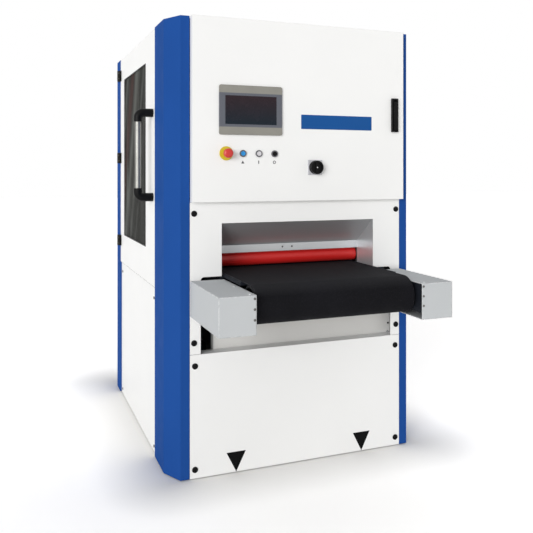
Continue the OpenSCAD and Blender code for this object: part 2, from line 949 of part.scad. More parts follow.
module table_beams() {
    end = cover_end - sheet;
    color(steel)
        both_x()
            difference() {
                box(beam_x0, beam_x1, -end, end, beam_low, beam_top);
                box(beam_x0 + 6, beam_x1 - 6, -end + 100, end - 100, beam_low - 1, beam_top - 6);
                both_y()
                    xcyl(beam_x0 - 1, beam_x1 + 1, roller_y, roller_z, axle_r + run, 48);
            }
}

module table_bed() {
    top = belt_top - belt_t - belt_gap;
    far = roller_y - belt_r - 6;
    color(steel) {
        box(-cover_in + 2, cover_in - 2, -far, far, top - 12, top);
        both_x() {
            box(cover_in - 2, beam_x0, yf + 10, yr - 10, roller_z + 20, top);
            box(cover_in - 10, cover_in - 5, -far, far, top, belt_top + 1.5);
        }
    }
}

module feed_belt() {
    color(dark)
        translate([0, -roller_y, roller_z])
            difference() {
                loop(-belt_w / 2, belt_w / 2, 2 * roller_y, belt_r);
                loop(-belt_w / 2 - 1, belt_w / 2 + 1, 2 * roller_y, belt_r - belt_t);
            }
}

module feed_roller(y, x1) {
    roller(-belt_w / 2 - 2, belt_w / 2 + 2, y, roller_z, roller_r, 8, axle_r + 5);
    xcyl(-beam_x1, x1, y, roller_z, axle_r, 48);
}

module idler_roller() {
    color(steel)
        feed_roller(-roller_y, beam_x1);
}

module drive_roller() {
    color(steel)
        feed_roller(roller_y, beam_x1 + drive_end);
}

module feed_gearmotor() {
    x1 = cover_out - 8;
    y1 = roller_y - gearbox;
    color([0.3, 0.34, 0.4])
        difference() {
            union() {
                box(beam_x1, x1, y1, roller_y + gearbox, roller_z - gearbox, cover_top - 12);
                ycyl(y1 - feed_motor_len, y1, (beam_x1 + x1) / 2, roller_z, feed_motor_r, 48);
            }
            xcyl(beam_x1 - 1, beam_x1 + drive_end + 1, roller_y, roller_z, axle_r + run, 48);
        }
}

module apron_plates() {
    x0 = -beam_x0 - apron_left;
    color(grey)
        both_y() {
            box(x0, beam_x1 + apron_right, apron_y, apron_y + sheet, seam_z - 25, beam_low - 15);
            box(x0, -beam_x0, apron_y, apron_y + 25, beam_low - 18, beam_low);
            box(beam_x0, beam_x1, apron_y, apron_y + 25, beam_low - 18, beam_low);
            box(x0, x0 + sheet, apron_y, apron_y + 40, seam_z - 25, beam_low - 15);
        }
}

// Cover around the end of a side beam, open towards the belt
module end_cover() {
    difference() {
        box(cover_in, cover_out, cover_y, cover_end, cover_low, cover_top);
        box(cover_in - 1, cover_out - sheet, cover_y - 1, cover_end - sheet, cover_low + sheet,
            cover_top - sheet);
    }
}

module table_covers() {
    color(grey)
        both_y()
            both_x()
                end_cover();
}

module lift_screws() {
    color(steel)
        both_x()
            both_y() {
                zcyl(jack_floor + travel + 35, beam_low - 10, lift_x, lift_y, lift_r, 64);
                zcyl(beam_low - 12, beam_low, lift_x, lift_y, 30, 48);
            }
}

module control_door() {
    back = yf - 2;
    in_y = door_y + door_sheet;
    color(white)
        difference() {
            union() {
                difference() {
                    box(-panel_x, panel_x, door_y, back, door_low, door_top);
                    box(-panel_x + door_sheet, panel_x - door_sheet, in_y, back + 1,
                        door_low + door_sheet, door_top - door_sheet);
                }
                for (z = hinge_zs)
                    for (s = [-1, 1])
                        hinge_lug(in_y, z + s * 22.7);
            }
            for (z = hinge_zs)
                zcyl(z - 40, z + 40, hinge_x, hinge_y, hinge_r + run, 40);
            rect_y(hmi_in_w + 2, hmi_in_h + 2, door_y - 1, in_y + 1);
            for (x = concat([estop_x], [for (i = [1:3]) button_x + i * button_pitch]))
                ycyl(door_y - 1, in_y + 1, x, button_z, stem_r + 0.3, 40);
            ycyl(door_y - 1, in_y + 1, iso_x, iso_z, stem_r + 0.3, 40);
            ycyl(door_y - 1, in_y + 1, latch_x, latch_z, 9.3, 40);
        }
}

// Block inside the door that holds one end of a hinge pin
module hinge_lug(in_y, z) {
    box(-panel_x + 2.5, -panel_x + 22, in_y, hinge_y + 6, z - 7.3, z + 7.3);
}

// Upright block behind the touch panel's centre
module rect_y(w, h, y0, y1) {
    box(hmi_x - w / 2, hmi_x + w / 2, y0, y1, hmi_z - h / 2, hmi_z + h / 2);
}

module touch_panel() {
    r = 8;
    y0 = door_y - hmi_proud;
    color([0.5, 0.5, 0.5])
        difference() {
            union() {
                rect_y(hmi_w - 2 * r, hmi_h, y0, door_y);
                rect_y(hmi_w, hmi_h - 2 * r, y0, door_y);
                for (i = [-1, 1])
                    for (k = [-1, 1])
                        ycyl(y0, door_y, hmi_x + i * (hmi_w / 2 - r), hmi_z + k * (hmi_h / 2 - r), r, 40);
                rect_y(hmi_in_w, hmi_in_h, door_y - 1, door_y + 48);
            }
            rect_y(screen_w, screen_h, y0 - 1, y0 + 3);
        }
}

module touch_screen() {
    y0 = door_y - hmi_proud;
    color([0.12, 0.12, 0.15])
        rect_y(screen_w - 0.6, screen_h - 0.6, y0 + 0.5, y0 + 3);
}

// Ring that holds a push button or the emergency stop in the door
module bezel(x, r, h, bore) {
    difference() {
        union() {
            ycyl(door_y - h, door_y, x, button_z, r, 64);
            ycyl(door_y - 1, door_y + 34, x, button_z, stem_r, 40);
            ycyl(door_y + door_sheet, door_y + door_sheet + 6, x, button_z, stem_r + 4, 40);
        }
        ycyl(door_y - h - 1, door_y + 30, x, button_z, bore, 48);
    }
}

module estop_collar() {
    color([0.85, 0.75, 0.1])
        difference() {
            union() {
                bezel(estop_x, collar_r, collar_t, 8 + run);
                ycyl(door_y - skirt_h, door_y - collar_t, estop_x, button_z, skirt_r, 64);
            }
            ycyl(door_y - skirt_h - 1, door_y, estop_x, button_z, 8 + run, 48);
        }
}

module estop_button() {
    y1 = door_y - skirt_h - 1 - estop_stroke;
    color([0.75, 0.15, 0.13]) {
        ycyl(y1 - estop_h, y1, estop_x, button_z, estop_r, 64);
        ycyl(y1 - 1, door_y + 20, estop_x, button_z, 8, 48);
    }
}

module button_bezels() {
    color([0.75, 0.75, 0.77])
        for (i = [1:3])
            bezel(button_x + i * button_pitch, bezel_r, 6, button_r + run);
}

module push_button(i) {
    ycyl(door_y - 7 - button_stroke, door_y + 22, button_x + i * button_pitch, button_z, button_r, 48);
}

module reset_button() {
    color([0.05, 0.5, 0.8])
        push_button(1);
}

module start_button() {
    color([0.85, 0.85, 0.85])
        push_button(2);
}

module stop_button() {
    color(dark)
        push_button(3);
}

module isolator_plate() {
    h = iso_w / 2;
    color(grey)
        difference() {
            union() {
                box(iso_x - h, iso_x + h, door_y - 6, door_y, iso_z - h, iso_z + h);
                ycyl(door_y - 1, door_y + 40, iso_x, iso_z, stem_r, 40);
            }
            ycyl(door_y - 7, door_y + 36, iso_x, iso_z, 8 + run, 48);
        }
}

// Dished round knob whose grip bar lies across the dish
module isolator_knob() {
    plate_y = door_y - 6;
    face = plate_y - knob_h;
    dish_r = knob_r - knob_rim;
    color(dark) {
        difference() {
            ycyl(face, plate_y - 0.3, iso_x, iso_z, knob_r, 64);
            ycyl(face - 1, face + knob_dish, iso_x, iso_z, dish_r, 64);
        }
        box(iso_x - grip_w / 2, iso_x + grip_w / 2, face, face + knob_dish + 1, iso_z - dish_r - 2,
            iso_z + dish_r + 2);
        ycyl(plate_y - 2, door_y + 30, iso_x, iso_z, 8, 48);
    }
}

module latch_housing() {
    w = latch_w / 2;
    h = latch_len / 2;
    color(dark)
        difference() {
            union() {
                box(latch_x - w, latch_x + w, door_y - 14, door_y, latch_z - h, latch_z + h);
                ycyl(door_y - 1, door_y + 26, latch_x, latch_z, 9, 40);
            }
            box(latch_x - w + 5, latch_x + w - 5, door_y - 15, door_y - 2, latch_z - h + 6, latch_z + h - 8);
            xcyl(latch_x - w + 1, latch_x + w - 1, door_y - 9, latch_z + h - 20, 2.5 + run, 32);
        }
}

module latch_lever() {
    w = latch_w / 2 - 5.5;
    h = latch_len / 2;
    color(dark) {
        box(latch_x - w, latch_x + w, door_y - 19, door_y - 5, latch_z - h + 8, latch_z + h - 16);
        xcyl(latch_x - w - 4, latch_x + w + 4, door_y - 9, latch_z + h - 20, 2.5, 32);
    }
}

module side_door() {
    color(white)
        mirror([1, 0, 0])
            difference() {
                side_tray(side_seam_z + gap, body_h - 3, gap + 2, side_door_x);
                box(side_door_x - sheet - 1, side_door_x + 1, win_y0, win_y1, win_z0, win_z1);
            }
}

module side_window() {
    x = -side_door_x + sheet;
    color([0.25, 0.24, 0.24])
        box(x, x + pane_t, win_y0 - pane_lap, win_y1 + pane_lap, win_z0 - pane_lap, win_z1 + pane_lap);
}

// Bent sleeve from the door to one end of the tube
module handle_elbow(z, s) {
    r = tube_r + elbow_wall;
    za = z + s * bend_r;
    zb = z + s * sleeve;
    xcyl(tube_x + bend_r, -side_door_x, tube_y, z, r, 48);
    translate([tube_x + bend_r, tube_y, za])
        rotate([90, s > 0 ? 180 : -90, 0])
            rotate_extrude(angle = 90, $fn = 64)
                translate([bend_r, 0])
                    circle(r = r, $fn = 48);
    zcyl(min(za, zb), max(za, zb), tube_x, tube_y, r, 48);
}

module handle_elbows() {
    color(dark) {
        handle_elbow(tube_z0, 1);
        handle_elbow(tube_z1, -1);
    }
}

module handle_tube() {
    color([0.6, 0.61, 0.6])
        zcyl(tube_z0 + sleeve, tube_z1 - sleeve, tube_x, tube_y, tube_r, 48);
}

module side_hinge_leaves() {
    color(dark)
        for (z = side_hinge_zs)
            difference() {
                union() {
                    zcyl(z + 0.3, z + hinge_h / 2, side_hx, side_hy, knuckle_r, 40);
                    box(-xs - leaf_t, -side_door_x, side_hy - hinge_leaf, side_hy - 1.5, z + 0.3,
                        z + hinge_h / 2);
                    box(-xs - leaf_t, -side_door_x, side_hy - hinge_leaf, side_hy - leaf_in,
                        z - hinge_h / 2, z + hinge_h / 2);
                }
                zcyl(z, z + hinge_h / 2 + 1, side_hx, side_hy, 4 + run, 40);
            }
}

base_side_beams();
base_cross_bars();
frame_posts();
corner_columns();
roof_panel();
front_middle_panel();
front_lower_panel();
rear_upper_panel();
rear_lower_panel();
side_lower_panels();
right_upper_panel();
panel_screws();
infeed_hood();
outfeed_hood();
safety_flap();
cabinet_shell();
switchgear();
control_hinges();
side_hinge_blocks();
dust_spigot();
bearing_wall();
head_beam();
tension_yoke();
abrasive_belt();
contact_drum();
tension_roller();
main_motor();
motor_pulley();
drive_belt();
pressure_brackets();
pressure_roller_front();
pressure_roller_rear();
screw_jacks();
table_beams();
table_bed();
feed_belt();
idler_roller();
drive_roller();
feed_gearmotor();
apron_plates();
table_covers();
lift_screws();
control_door();
touch_panel();
touch_screen();
estop_collar();
estop_button();
button_bezels();
reset_button();
start_button();
stop_button();
isolator_plate();
isolator_knob();
latch_housing();
latch_lever();
side_door();
side_window();
handle_elbows();
handle_tube();
side_hinge_leaves();
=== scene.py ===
import json
import math

import bmesh
import bpy
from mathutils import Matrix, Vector


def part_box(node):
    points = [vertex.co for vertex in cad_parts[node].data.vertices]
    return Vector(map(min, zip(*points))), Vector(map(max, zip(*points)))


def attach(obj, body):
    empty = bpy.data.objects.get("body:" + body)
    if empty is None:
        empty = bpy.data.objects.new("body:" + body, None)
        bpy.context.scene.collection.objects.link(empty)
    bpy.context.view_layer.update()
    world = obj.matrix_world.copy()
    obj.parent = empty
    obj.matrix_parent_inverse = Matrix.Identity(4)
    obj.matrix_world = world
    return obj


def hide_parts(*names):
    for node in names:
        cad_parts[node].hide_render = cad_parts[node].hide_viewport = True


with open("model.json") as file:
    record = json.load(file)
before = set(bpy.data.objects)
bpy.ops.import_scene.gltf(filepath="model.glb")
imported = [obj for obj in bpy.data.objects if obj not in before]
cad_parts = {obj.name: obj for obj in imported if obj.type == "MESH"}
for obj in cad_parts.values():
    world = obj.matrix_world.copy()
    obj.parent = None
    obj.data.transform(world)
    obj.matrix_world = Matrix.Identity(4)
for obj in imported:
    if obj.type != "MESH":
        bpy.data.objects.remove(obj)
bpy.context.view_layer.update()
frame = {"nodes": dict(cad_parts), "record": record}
NODES = frame["nodes"]
MM = 0.001
FRONT, BACK = Vector((0, -1, 0)), Vector((0, 1, 0))
LEFT, RIGHT, UP = Vector((-1, 0, 0)), Vector((1, 0, 0)), Vector((0, 0, 1))


# Places in the frame

# Mesh points are matched on a grid with this many steps in a metre
STEPS_PER_METRE = 1e5


def solids(node):
    """(lowest, highest) corners of each separate solid of a CAD node, in metres."""
    mesh = NODES[node].data
    first, leader = {}, list(range(len(mesh.vertices)))

    def find(i):
        while leader[i] != i:
            leader[i] = leader[leader[i]]
            i = leader[i]
        return i

    for v in mesh.vertices:
        key = tuple(round(c * STEPS_PER_METRE) for c in v.co)
        leader[v.index] = find(first.setdefault(key, v.index))
    for poly in mesh.polygons:
        root = find(poly.vertices[0])
        for i in poly.vertices[1:]:
            leader[find(i)] = root
    groups = {}
    for v in mesh.vertices:
        groups.setdefault(find(v.index), []).append(v.co)
    boxes = []
    for points in groups.values():
        lo = Vector(min(p[k] for p in points) for k in range(3))
        hi = Vector(max(p[k] for p in points) for k in range(3))
        boxes.append((lo, hi))
    return sorted(boxes, key=lambda box: tuple(box[0]))


def middle(lo, hi):
    return (lo + hi) / 2


# Material tools

NOISE_LO, NOISE_HI = 0.3, 0.7
EDGE_SAMPLES = 4
EDGE_DOT, FLAT_DOT = 0.80, 0.995


def rgb(r, g, b):
    """Linear colour from the 0 to 255 values seen on screen."""
    def linear(c):
        c /= 255
        return c / 12.92 if c <= 0.04045 else ((c + 0.055) / 1.055) ** 2.4
    return (linear(r), linear(g), linear(b), 1.0)


def shade(colour, factor):
    """The same colour, darker or lighter."""
    return tuple(min(1.0, c * factor) for c in colour[:3]) + (1.0,)


class Finish:
    """Procedural material under construction: object coordinates feed its textures."""

    def __init__(self, name):
        self.mat = bpy.data.materials.new(name)
        self.mat.use_nodes = True
        self.tree = self.mat.node_tree
        self.shader = self.tree.nodes["Principled BSDF"]
        self.coord = self.add("ShaderNodeTexCoord").outputs["Object"]

    def add(self, kind, **props):
        node = self.tree.nodes.new(kind)
        for key, value in props.items():
            setattr(node, key, value)
        return node

    def link(self, a, b):
        self.tree.links.new(a, b)

    def feed(self, socket, value):
        """Set a constant on a socket, or link another node's output to it."""
        if isinstance(value, (tuple, float, int)):
            socket.default_value = value
        else:
            self.link(value, socket)

    def stretched(self, scale):
        """Object coordinates, scaled along each axis."""
        node = self.add("ShaderNodeMapping")
        node.inputs["Scale"].default_value = scale
        self.link(self.coord, node.inputs["Vector"])
        return node.outputs["Vector"]

    def noise(self, scale, detail=3.0, vector=None):
        node = self.add("ShaderNodeTexNoise")
        node.inputs["Scale"].default_value = scale
        node.inputs["Detail"].default_value = detail
        self.link(vector or self.coord, node.inputs["Vector"])
        return node.outputs["Fac"]

    def span(self, value, out_lo, out_hi, in_lo=NOISE_LO, in_hi=NOISE_HI):
        """Spread in_lo to in_hi of a value, by default most of a noise's range, over out_lo to out_hi."""
        node = self.add("ShaderNodeMapRange")
        for key, v in (("From Min", in_lo), ("From Max", in_hi), ("To Min", out_lo), ("To Max", out_hi)):
            node.inputs[key].default_value = v
        self.link(value, node.inputs["Value"])
        return node.outputs["Result"]

    def math(self, operation, *values):
        node = self.add("ShaderNodeMath", operation=operation)
        for socket, value in zip(node.inputs, values):
            self.feed(socket, value)
        return node.outputs["Value"]

    def band(self, value, centre, half):
        """1 where value is at centre, falling to 0 at half to either side."""
        distance = self.math("ABSOLUTE", self.math("SUBTRACT", value, centre))
        return self.span(distance, 1.0, 0.0, 0.0, half)

    def colour_mix(self, factor, a, b):
        node = self.add("ShaderNodeMix", data_type="RGBA")
        for socket, value in zip([s for s in node.inputs if s.enabled], (factor, a, b)):
            self.feed(socket, value)
        return [s for s in node.outputs if s.enabled][0]

    def component(self, vector, axis):
        node = self.add("ShaderNodeSeparateXYZ")
        self.link(vector, node.inputs[0])
        return node.outputs[axis]

    def along(self, axis):
        """Object coordinate along one axis, in metres."""
        return self.component(self.coord, axis)

    def away_from(self, half_sizes, room):
        """0 over a rectangle about the origin, rising to 1 at room from its edges."""
        squares = []
        for axis, half in zip("XY", half_sizes):
            beyond = self.math("SUBTRACT", self.math("ABSOLUTE", self.along(axis)), half)
            outside = self.math("MAXIMUM", beyond, 0.0)
            squares.append(self.math("MULTIPLY", outside, outside))
        distance = self.math("SQRT", self.math("ADD", *squares))
        return self.span(distance, 0.0, 1.0, 0.0, room)

    def upward(self):
        """1 on faces that look up, 0 on upright ones."""
        return self.component(self.add("ShaderNodeNewGeometry").outputs["Normal"], "Z")

    def edges(self, radius):
        """Rounded normal, and a mask that is 1 along sharp edges."""
        bevel = self.add("ShaderNodeBevel", samples=EDGE_SAMPLES)
        bevel.inputs["Radius"].default_value = radius
        flat = self.add("ShaderNodeNewGeometry")
        dot = self.add("ShaderNodeVectorMath", operation="DOT_PRODUCT")
        self.link(bevel.outputs["Normal"], dot.inputs[0])
        self.link(flat.outputs["Normal"], dot.inputs[1])
        mask = self.span(dot.outputs["Value"], 1.0, 0.0, EDGE_DOT, FLAT_DOT)
        return bevel.outputs["Normal"], mask

    def bump(self, value, strength, distance, normal=None):
        node = self.add("ShaderNodeBump")
        node.inputs["Strength"].default_value = strength
        node.inputs["Distance"].default_value = distance
        self.link(value, node.inputs["Height"])
        if normal:
            self.link(normal, node.inputs["Normal"])
        return node.outputs["Normal"]

    def put(self, **inputs):
        """Feed the shader's sockets, named with underscores for spaces."""
        for key, value in inputs.items():
            self.feed(self.shader.inputs[key.replace("_", " ")], value)


# Kinds of material

def coated(name, colour, rough, grain=900.0, grain_depth=0.00012, vary=0.05, edge=0.0014, edge_wear_and_light=0.25,
           edge_wear_and_light_colour=None, shine=0.5, ior=1.5, patch=0.06, metal=0.0):
    """Paint, plastic or rubber: cloudy colour, fine grain, uneven gloss and lighter edges.

    rough strays by patch, and the colour by the share vary. grain is the scale of the fine bumps.
    edge is the width of the edges on which the edge colour shows, and the edge amount how much of it. That
    edge colour is chipped paint on most finishes, a painted highlight on the light grey coat and painted
    shade on the white coat.
    """
    f = Finish(name)
    clouds = f.noise(scale=2.5, detail=4.0)
    base = f.colour_mix(f.span(clouds, 0.0, 1.0), shade(colour, 1 - vary), shade(colour, 1 + vary))
    normal, mask = f.edges(edge)
    # Edge marks: chipped paint on most finishes, painted highlight on the light grey coat, painted shade on
    # the white coat.
    edge_wear_and_light_marks = f.span(f.noise(scale=60.0, detail=2.0), 0.0, edge_wear_and_light, 0.35, 0.75)
    base = f.colour_mix(f.math("MULTIPLY", mask, edge_wear_and_light_marks), base, edge_wear_and_light_colour or shade(colour, 1.5))
    gloss = f.span(f.noise(scale=14.0, detail=4.0), rough - patch, rough + patch)
    f.put(Base_Color=base, Roughness=gloss, Specular_IOR_Level=shine, IOR=ior, Metallic=metal,
          Normal=f.bump(f.noise(scale=grain, detail=2.0), 0.35, grain_depth, normal))
    return f.mat


def brushed(name, colour, rough, along):
    """Ground or drawn metal: fine lines run along one axis, and edges are brighter."""
    f = Finish(name)
    lengths = tuple(1.0 if k == along else 45.0 for k in range(3))
    lines = f.noise(scale=40.0, detail=3.0, vector=f.stretched(lengths))
    clouds = f.noise(scale=6.0, detail=4.0)
    base = f.colour_mix(f.span(clouds, 0.0, 1.0), shade(colour, 0.82), shade(colour, 1.08))
    normal, mask = f.edges(0.0012)
    base = f.colour_mix(f.math("MULTIPLY", mask, 0.4), base, shade(colour, 1.35))
    f.put(Base_Color=base, Roughness=f.span(lines, rough - 0.1, rough + 0.1), Metallic=1.0,
          Normal=f.bump(lines, 0.25, 0.00015, normal))
    return f.mat


WAVE_LENGTH = 0.314


def threaded(name, colour, pitch):
    """Screw steel with thread rings. A wave texture of scale 1 repeats every WAVE_LENGTH metres."""
    f = Finish(name)
    wave = f.add("ShaderNodeTexWave", bands_direction="Z")
    wave.inputs["Scale"].default_value = WAVE_LENGTH / pitch
    f.link(f.coord, wave.inputs["Vector"])
    rings = wave.outputs["Fac"]
    base = f.colour_mix(f.span(rings, 0.0, 1.0, 0.2, 0.8), shade(colour, 0.35), colour)
    f.put(Base_Color=base, Roughness=f.span(f.noise(scale=30.0), 0.25, 0.5), Metallic=1.0,
          Normal=f.bump(rings, 0.8, 0.0012))
    return f.mat


def woven_belt(name, colour, dust):
    """Rubber conveyor cover: fine cross weave, dust on top and frayed, lighter edges."""
    f = Finish(name)
    across = f.noise(scale=1.0, detail=1.0, vector=f.stretched((420.0, 60.0, 60.0)))
    lengthways = f.noise(scale=1.0, detail=1.0, vector=f.stretched((60.0, 420.0, 420.0)))
    weave = f.math("MAXIMUM", across, lengthways)
    smears = f.noise(scale=2.2, detail=5.0, vector=f.stretched((2.4, 0.5, 1.0)))
    specks = f.noise(scale=260.0, detail=2.0)
    base = f.colour_mix(f.span(smears, 0.0, 1.0, 0.35, 0.75), colour, shade(colour, 1.9))
    base = f.colour_mix(f.span(specks, 0.0, 0.10, 0.55, 0.8), base, dust)
    base = f.colour_mix(f.span(f.upward(), 0.0, 0.10, 0.5, 0.9), base, dust)
    normal, mask = f.edges(0.004)
    frayed = f.span(f.noise(scale=90.0, detail=3.0), 0.2, 1.0, 0.4, 0.6)
    base = f.colour_mix(f.math("MULTIPLY", mask, frayed), base, dust)
    f.put(Base_Color=base, Roughness=f.span(smears, 0.78, 0.95), Specular_IOR_Level=0.08,
          Normal=f.bump(weave, 0.7, 0.0006, normal))
    return f.mat


def grit(name, colour, loaded):
    """Abrasive cloth: coarse grains with duller bands rubbed in by the work."""
    f = Finish(name)
    cells = f.add("ShaderNodeTexVoronoi")
    cells.inputs["Scale"].default_value = 1400.0
    f.link(f.coord, cells.inputs["Vector"])
    grains = cells.outputs["Distance"]
    bands = f.noise(scale=3.0, detail=4.0, vector=f.stretched((5.0, 0.6, 0.6)))
    base = f.colour_mix(f.span(bands, 0.0, 0.8, 0.4, 0.7), colour, loaded)
    base = f.colour_mix(f.span(grains, 0.0, 0.5, 0.1, 0.6), base, shade(colour, 0.45))
    f.put(Base_Color=base, Roughness=f.span(grains, 0.7, 0.95), Normal=f.bump(grains, 0.9, 0.0005))
    return f.mat


def banded_panel(name, band, inner, lo, hi):
    """Touch panel housing: warm bands below lo and above hi, and a cooler frame between them."""
    f = Finish(name)
    z = f.along("Z")
    inside = f.math("MULTIPLY", f.math("GREATER_THAN", z, lo), f.math("LESS_THAN", z, hi))
    base = f.colour_mix(inside, band, inner)
    base = f.colour_mix(f.span(f.noise(scale=18.0, detail=4.0), 0.0, 0.12), base, shade(inner, 0.6))
    normal, mask = f.edges(0.002)
    # Darker edges: painted shade, drawn as a dark groove round the housing.
    base = f.colour_mix(f.math("MULTIPLY", mask, 0.6), base, shade(inner, 0.45))
    f.put(Base_Color=base, Roughness=f.span(f.noise(scale=25.0), 0.38, 0.5),
          Normal=f.bump(f.noise(scale=1500.0, detail=2.0), 0.3, 0.0001, normal))
    return f.mat


def dark_screen(name, top, bottom, lo, hi):
    """Switched-off touch screen: its tone changes from bottom to top, with finger smears."""
    f = Finish(name)
    base = f.colour_mix(f.span(f.along("Z"), 0.0, 1.0, lo, hi), bottom, top)
    smears = f.noise(scale=30.0, detail=5.0)
    base = f.colour_mix(f.span(smears, 0.0, 0.1, 0.5, 0.8), base, shade(top, 2.2))
    normal, _ = f.edges(0.001)
    f.put(Base_Color=base, Roughness=f.span(smears, 0.16, 0.34), Specular_IOR_Level=0.2, Normal=normal)
    return f.mat


# Centre and half width across the pane, as shares of it, and for the pale ones, which are painted
# reflections, their strength
RUST_BAND = (0.10, 0.13)
PAINTED_REFLECTION_BANDS = ((-0.13, 0.10, 0.6), (0.33, 0.14, 0.75), (0.60, 0.05, 0.45), (0.80, 0.04, 0.25))


def tinted_pane(name, lo, hi, tint, rust, pale, lean, opacity):
    """Smoked window sheet: leaning rust and pale bands, the pale bands and streaks being painted reflections,
    and the inside showing dimly through.
    """
    f = Finish(name)
    across = f.span(f.along("Y"), 1.0, 0.0, lo.y, hi.y)
    upright = f.span(f.along("Z"), -0.5, 0.5, lo.z, hi.z)
    place = f.math("SUBTRACT", across, f.math("MULTIPLY", upright, lean))
    streaks = f.noise(scale=2.0, detail=3.0, vector=f.stretched((1.0, 9.0, 0.9)))
    place = f.math("ADD", place, f.span(streaks, -0.06, 0.06))
    base = f.colour_mix(f.band(place, *RUST_BAND), tint, rust)
    # Pale bands and streaks: painted reflections.
    for centre, half, share in PAINTED_REFLECTION_BANDS:
        base = f.colour_mix(f.math("MULTIPLY", f.band(place, centre, half), share), base, pale)
    base = f.colour_mix(f.span(streaks, 0.0, 0.25, 0.45, 0.65), base, pale)
    normal, _ = f.edges(0.001)
    dust = f.noise(scale=300.0, detail=3.0)
    f.put(Base_Color=base, Roughness=f.span(dust, 0.24, 0.40), Alpha=opacity, IOR=1.10,
          Specular_IOR_Level=0.05, Normal=f.bump(dust, 0.05, 0.0001, normal))
    return f.mat


# Finish of each material slot

X_AXIS, Y_AXIS, Z_AXIS = range(3)
HMI_BAND = 33 * MM
THREAD_PITCH = 6 * MM
hmi_lo, hmi_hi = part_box("touch_panel")
screen_lo, screen_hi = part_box("touch_screen")

MATERIALS = {
    # White coat: its grey edge colour is painted shade, drawn along the panel edges.
    "white_paint": coated("white powder coat", rgb(240, 240, 239), 0.46, vary=0.012, edge_wear_and_light=0.15,
                          edge_wear_and_light_colour=rgb(205, 206, 208)),
    "blue_paint": coated("blue powder coat", rgb(33, 76, 147), 0.62, edge_wear_and_light_colour=rgb(96, 128, 190), shine=0.06,
                         ior=1.18),
    # Light grey coat: its near-white edges are a painted highlight, not chipped paint.
    "grey_paint": coated("light grey coat", rgb(194, 197, 199), 0.30, vary=0.02, edge=0.007, edge_wear_and_light=2.0,
                         edge_wear_and_light_colour=rgb(240, 241, 242), shine=0.0, patch=0.01),
    "frame_paint": coated("dark frame primer", rgb(58, 61, 66), 0.6, vary=0.1, edge_wear_and_light=0.5,
                          edge_wear_and_light_colour=rgb(120, 121, 123), shine=0.3),
    "red_paint": coated("red enamel", rgb(200, 32, 30), 0.42, vary=0.06, edge_wear_and_light_colour=rgb(235, 110, 95)),
    "machine_steel": brushed("ground steel", (0.55, 0.56, 0.58, 1.0), 0.36, X_AXIS),
    "drum_rubber": coated("drum rubber", rgb(58, 58, 60), 0.75, grain=500.0, vary=0.12, edge_wear_and_light=0.4),
    "belt_rubber": woven_belt("feed belt rubber", rgb(16, 16, 19), rgb(92, 92, 96)),
    "abrasive": grit("abrasive cloth", rgb(104, 58, 46), rgb(150, 120, 108)),
    "motor_paint": coated("grey-blue casting paint", rgb(92, 101, 114), 0.5, grain=260.0, grain_depth=0.0005,
                          vary=0.1, edge_wear_and_light=0.5),
    "switchgear_plastic": coated("switchgear plastic", rgb(146, 148, 150), 0.5),
    "black_plastic": coated("black plastic", rgb(10, 10, 11), 0.46, grain=700.0, vary=0.12, edge_wear_and_light=0.3,
                            edge_wear_and_light_colour=rgb(72, 72, 76), shine=0.12),
    "panel_plastic": banded_panel("touch panel housing", rgb(138, 136, 128), rgb(88, 91, 100),
                                  hmi_lo.z + HMI_BAND, hmi_hi.z - HMI_BAND),
    "screen_glass": dark_screen("touch screen", rgb(40, 26, 32), rgb(12, 27, 38), screen_lo.z, screen_hi.z),
    "yellow_plastic": coated("yellow plastic", rgb(206, 184, 40), 0.35, vary=0.06),
    "red_plastic": coated("red plastic", rgb(200, 50, 44), 0.32, vary=0.06),
    "chrome_ring": brushed("ring metal", (0.15, 0.15, 0.16, 1.0), 0.28, Y_AXIS),
    "blue_plastic": coated("blue plastic", rgb(28, 138, 208), 0.3),
    "light_plastic": coated("light plastic", rgb(208, 206, 210), 0.3, vary=0.03),
    "grey_plastic": coated("grey plastic", rgb(190, 190, 195), 0.42, vary=0.04),
    # Smoked window: its pale colour, in bands and streaks, is painted reflection.
    "window_pane": tinted_pane("smoked window", *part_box("side_window"), rgb(34, 34, 31), rgb(62, 38, 34),
                               rgb(100, 102, 98), lean=0.6, opacity=0.93),
    "handle_alu": brushed("anodised tube", (0.30, 0.30, 0.28, 1.0), 0.45, Z_AXIS),
}
# Apron coat: a darker, warm copy of the white coat; its darkness is painted shade from the table above it.
APRON_COAT_WITH_PAINTED_SHADE = coated("warm grey coat", rgb(217, 216, 213), 0.46, vary=0.02, edge_wear_and_light=0.15, shine=0.3)
BEAM_COAT = coated("dark table primer", rgb(26, 29, 36), 0.6, vary=0.1, edge_wear_and_light=0.5, edge_wear_and_light_colour=rgb(90, 92, 96),
                   shine=0.2)
SILVER = coated("silver grey coat", rgb(200, 202, 204), 0.34, vary=0.02, edge_wear_and_light=0.3, edge_wear_and_light_colour=rgb(232, 233, 235),
                patch=0.01, metal=0.6)
THREAD = threaded("screw thread steel", (0.5, 0.5, 0.52, 1.0), THREAD_PITCH)
BARE_PLATE = coated("blue name plate", rgb(14, 78, 144), 0.4, grain=300.0, vary=0.04, edge_wear_and_light_colour=rgb(90, 140, 200),
                    shine=0.2)
DECAL = coated("black film", rgb(8, 8, 9), 0.6, vary=0.1, edge_wear_and_light=0.1, shine=0.08)
PALE_MARK = coated("pale print", rgb(225, 225, 225), 0.5, vary=0.03, edge_wear_and_light=0.0)
DARK_MARK = coated("dark print", rgb(70, 70, 74), 0.5, vary=0.06, edge_wear_and_light=0.0)
ZINC = brushed("zinc plated steel", (0.60, 0.61, 0.62, 1.0), 0.34, X_AXIS)
SCREW_STEEL = brushed("dark screw steel", (0.16, 0.155, 0.15, 1.0), 0.30, X_AXIS)
BLACKED = brushed("blackened steel", (0.035, 0.035, 0.038, 1.0), 0.5, X_AXIS)

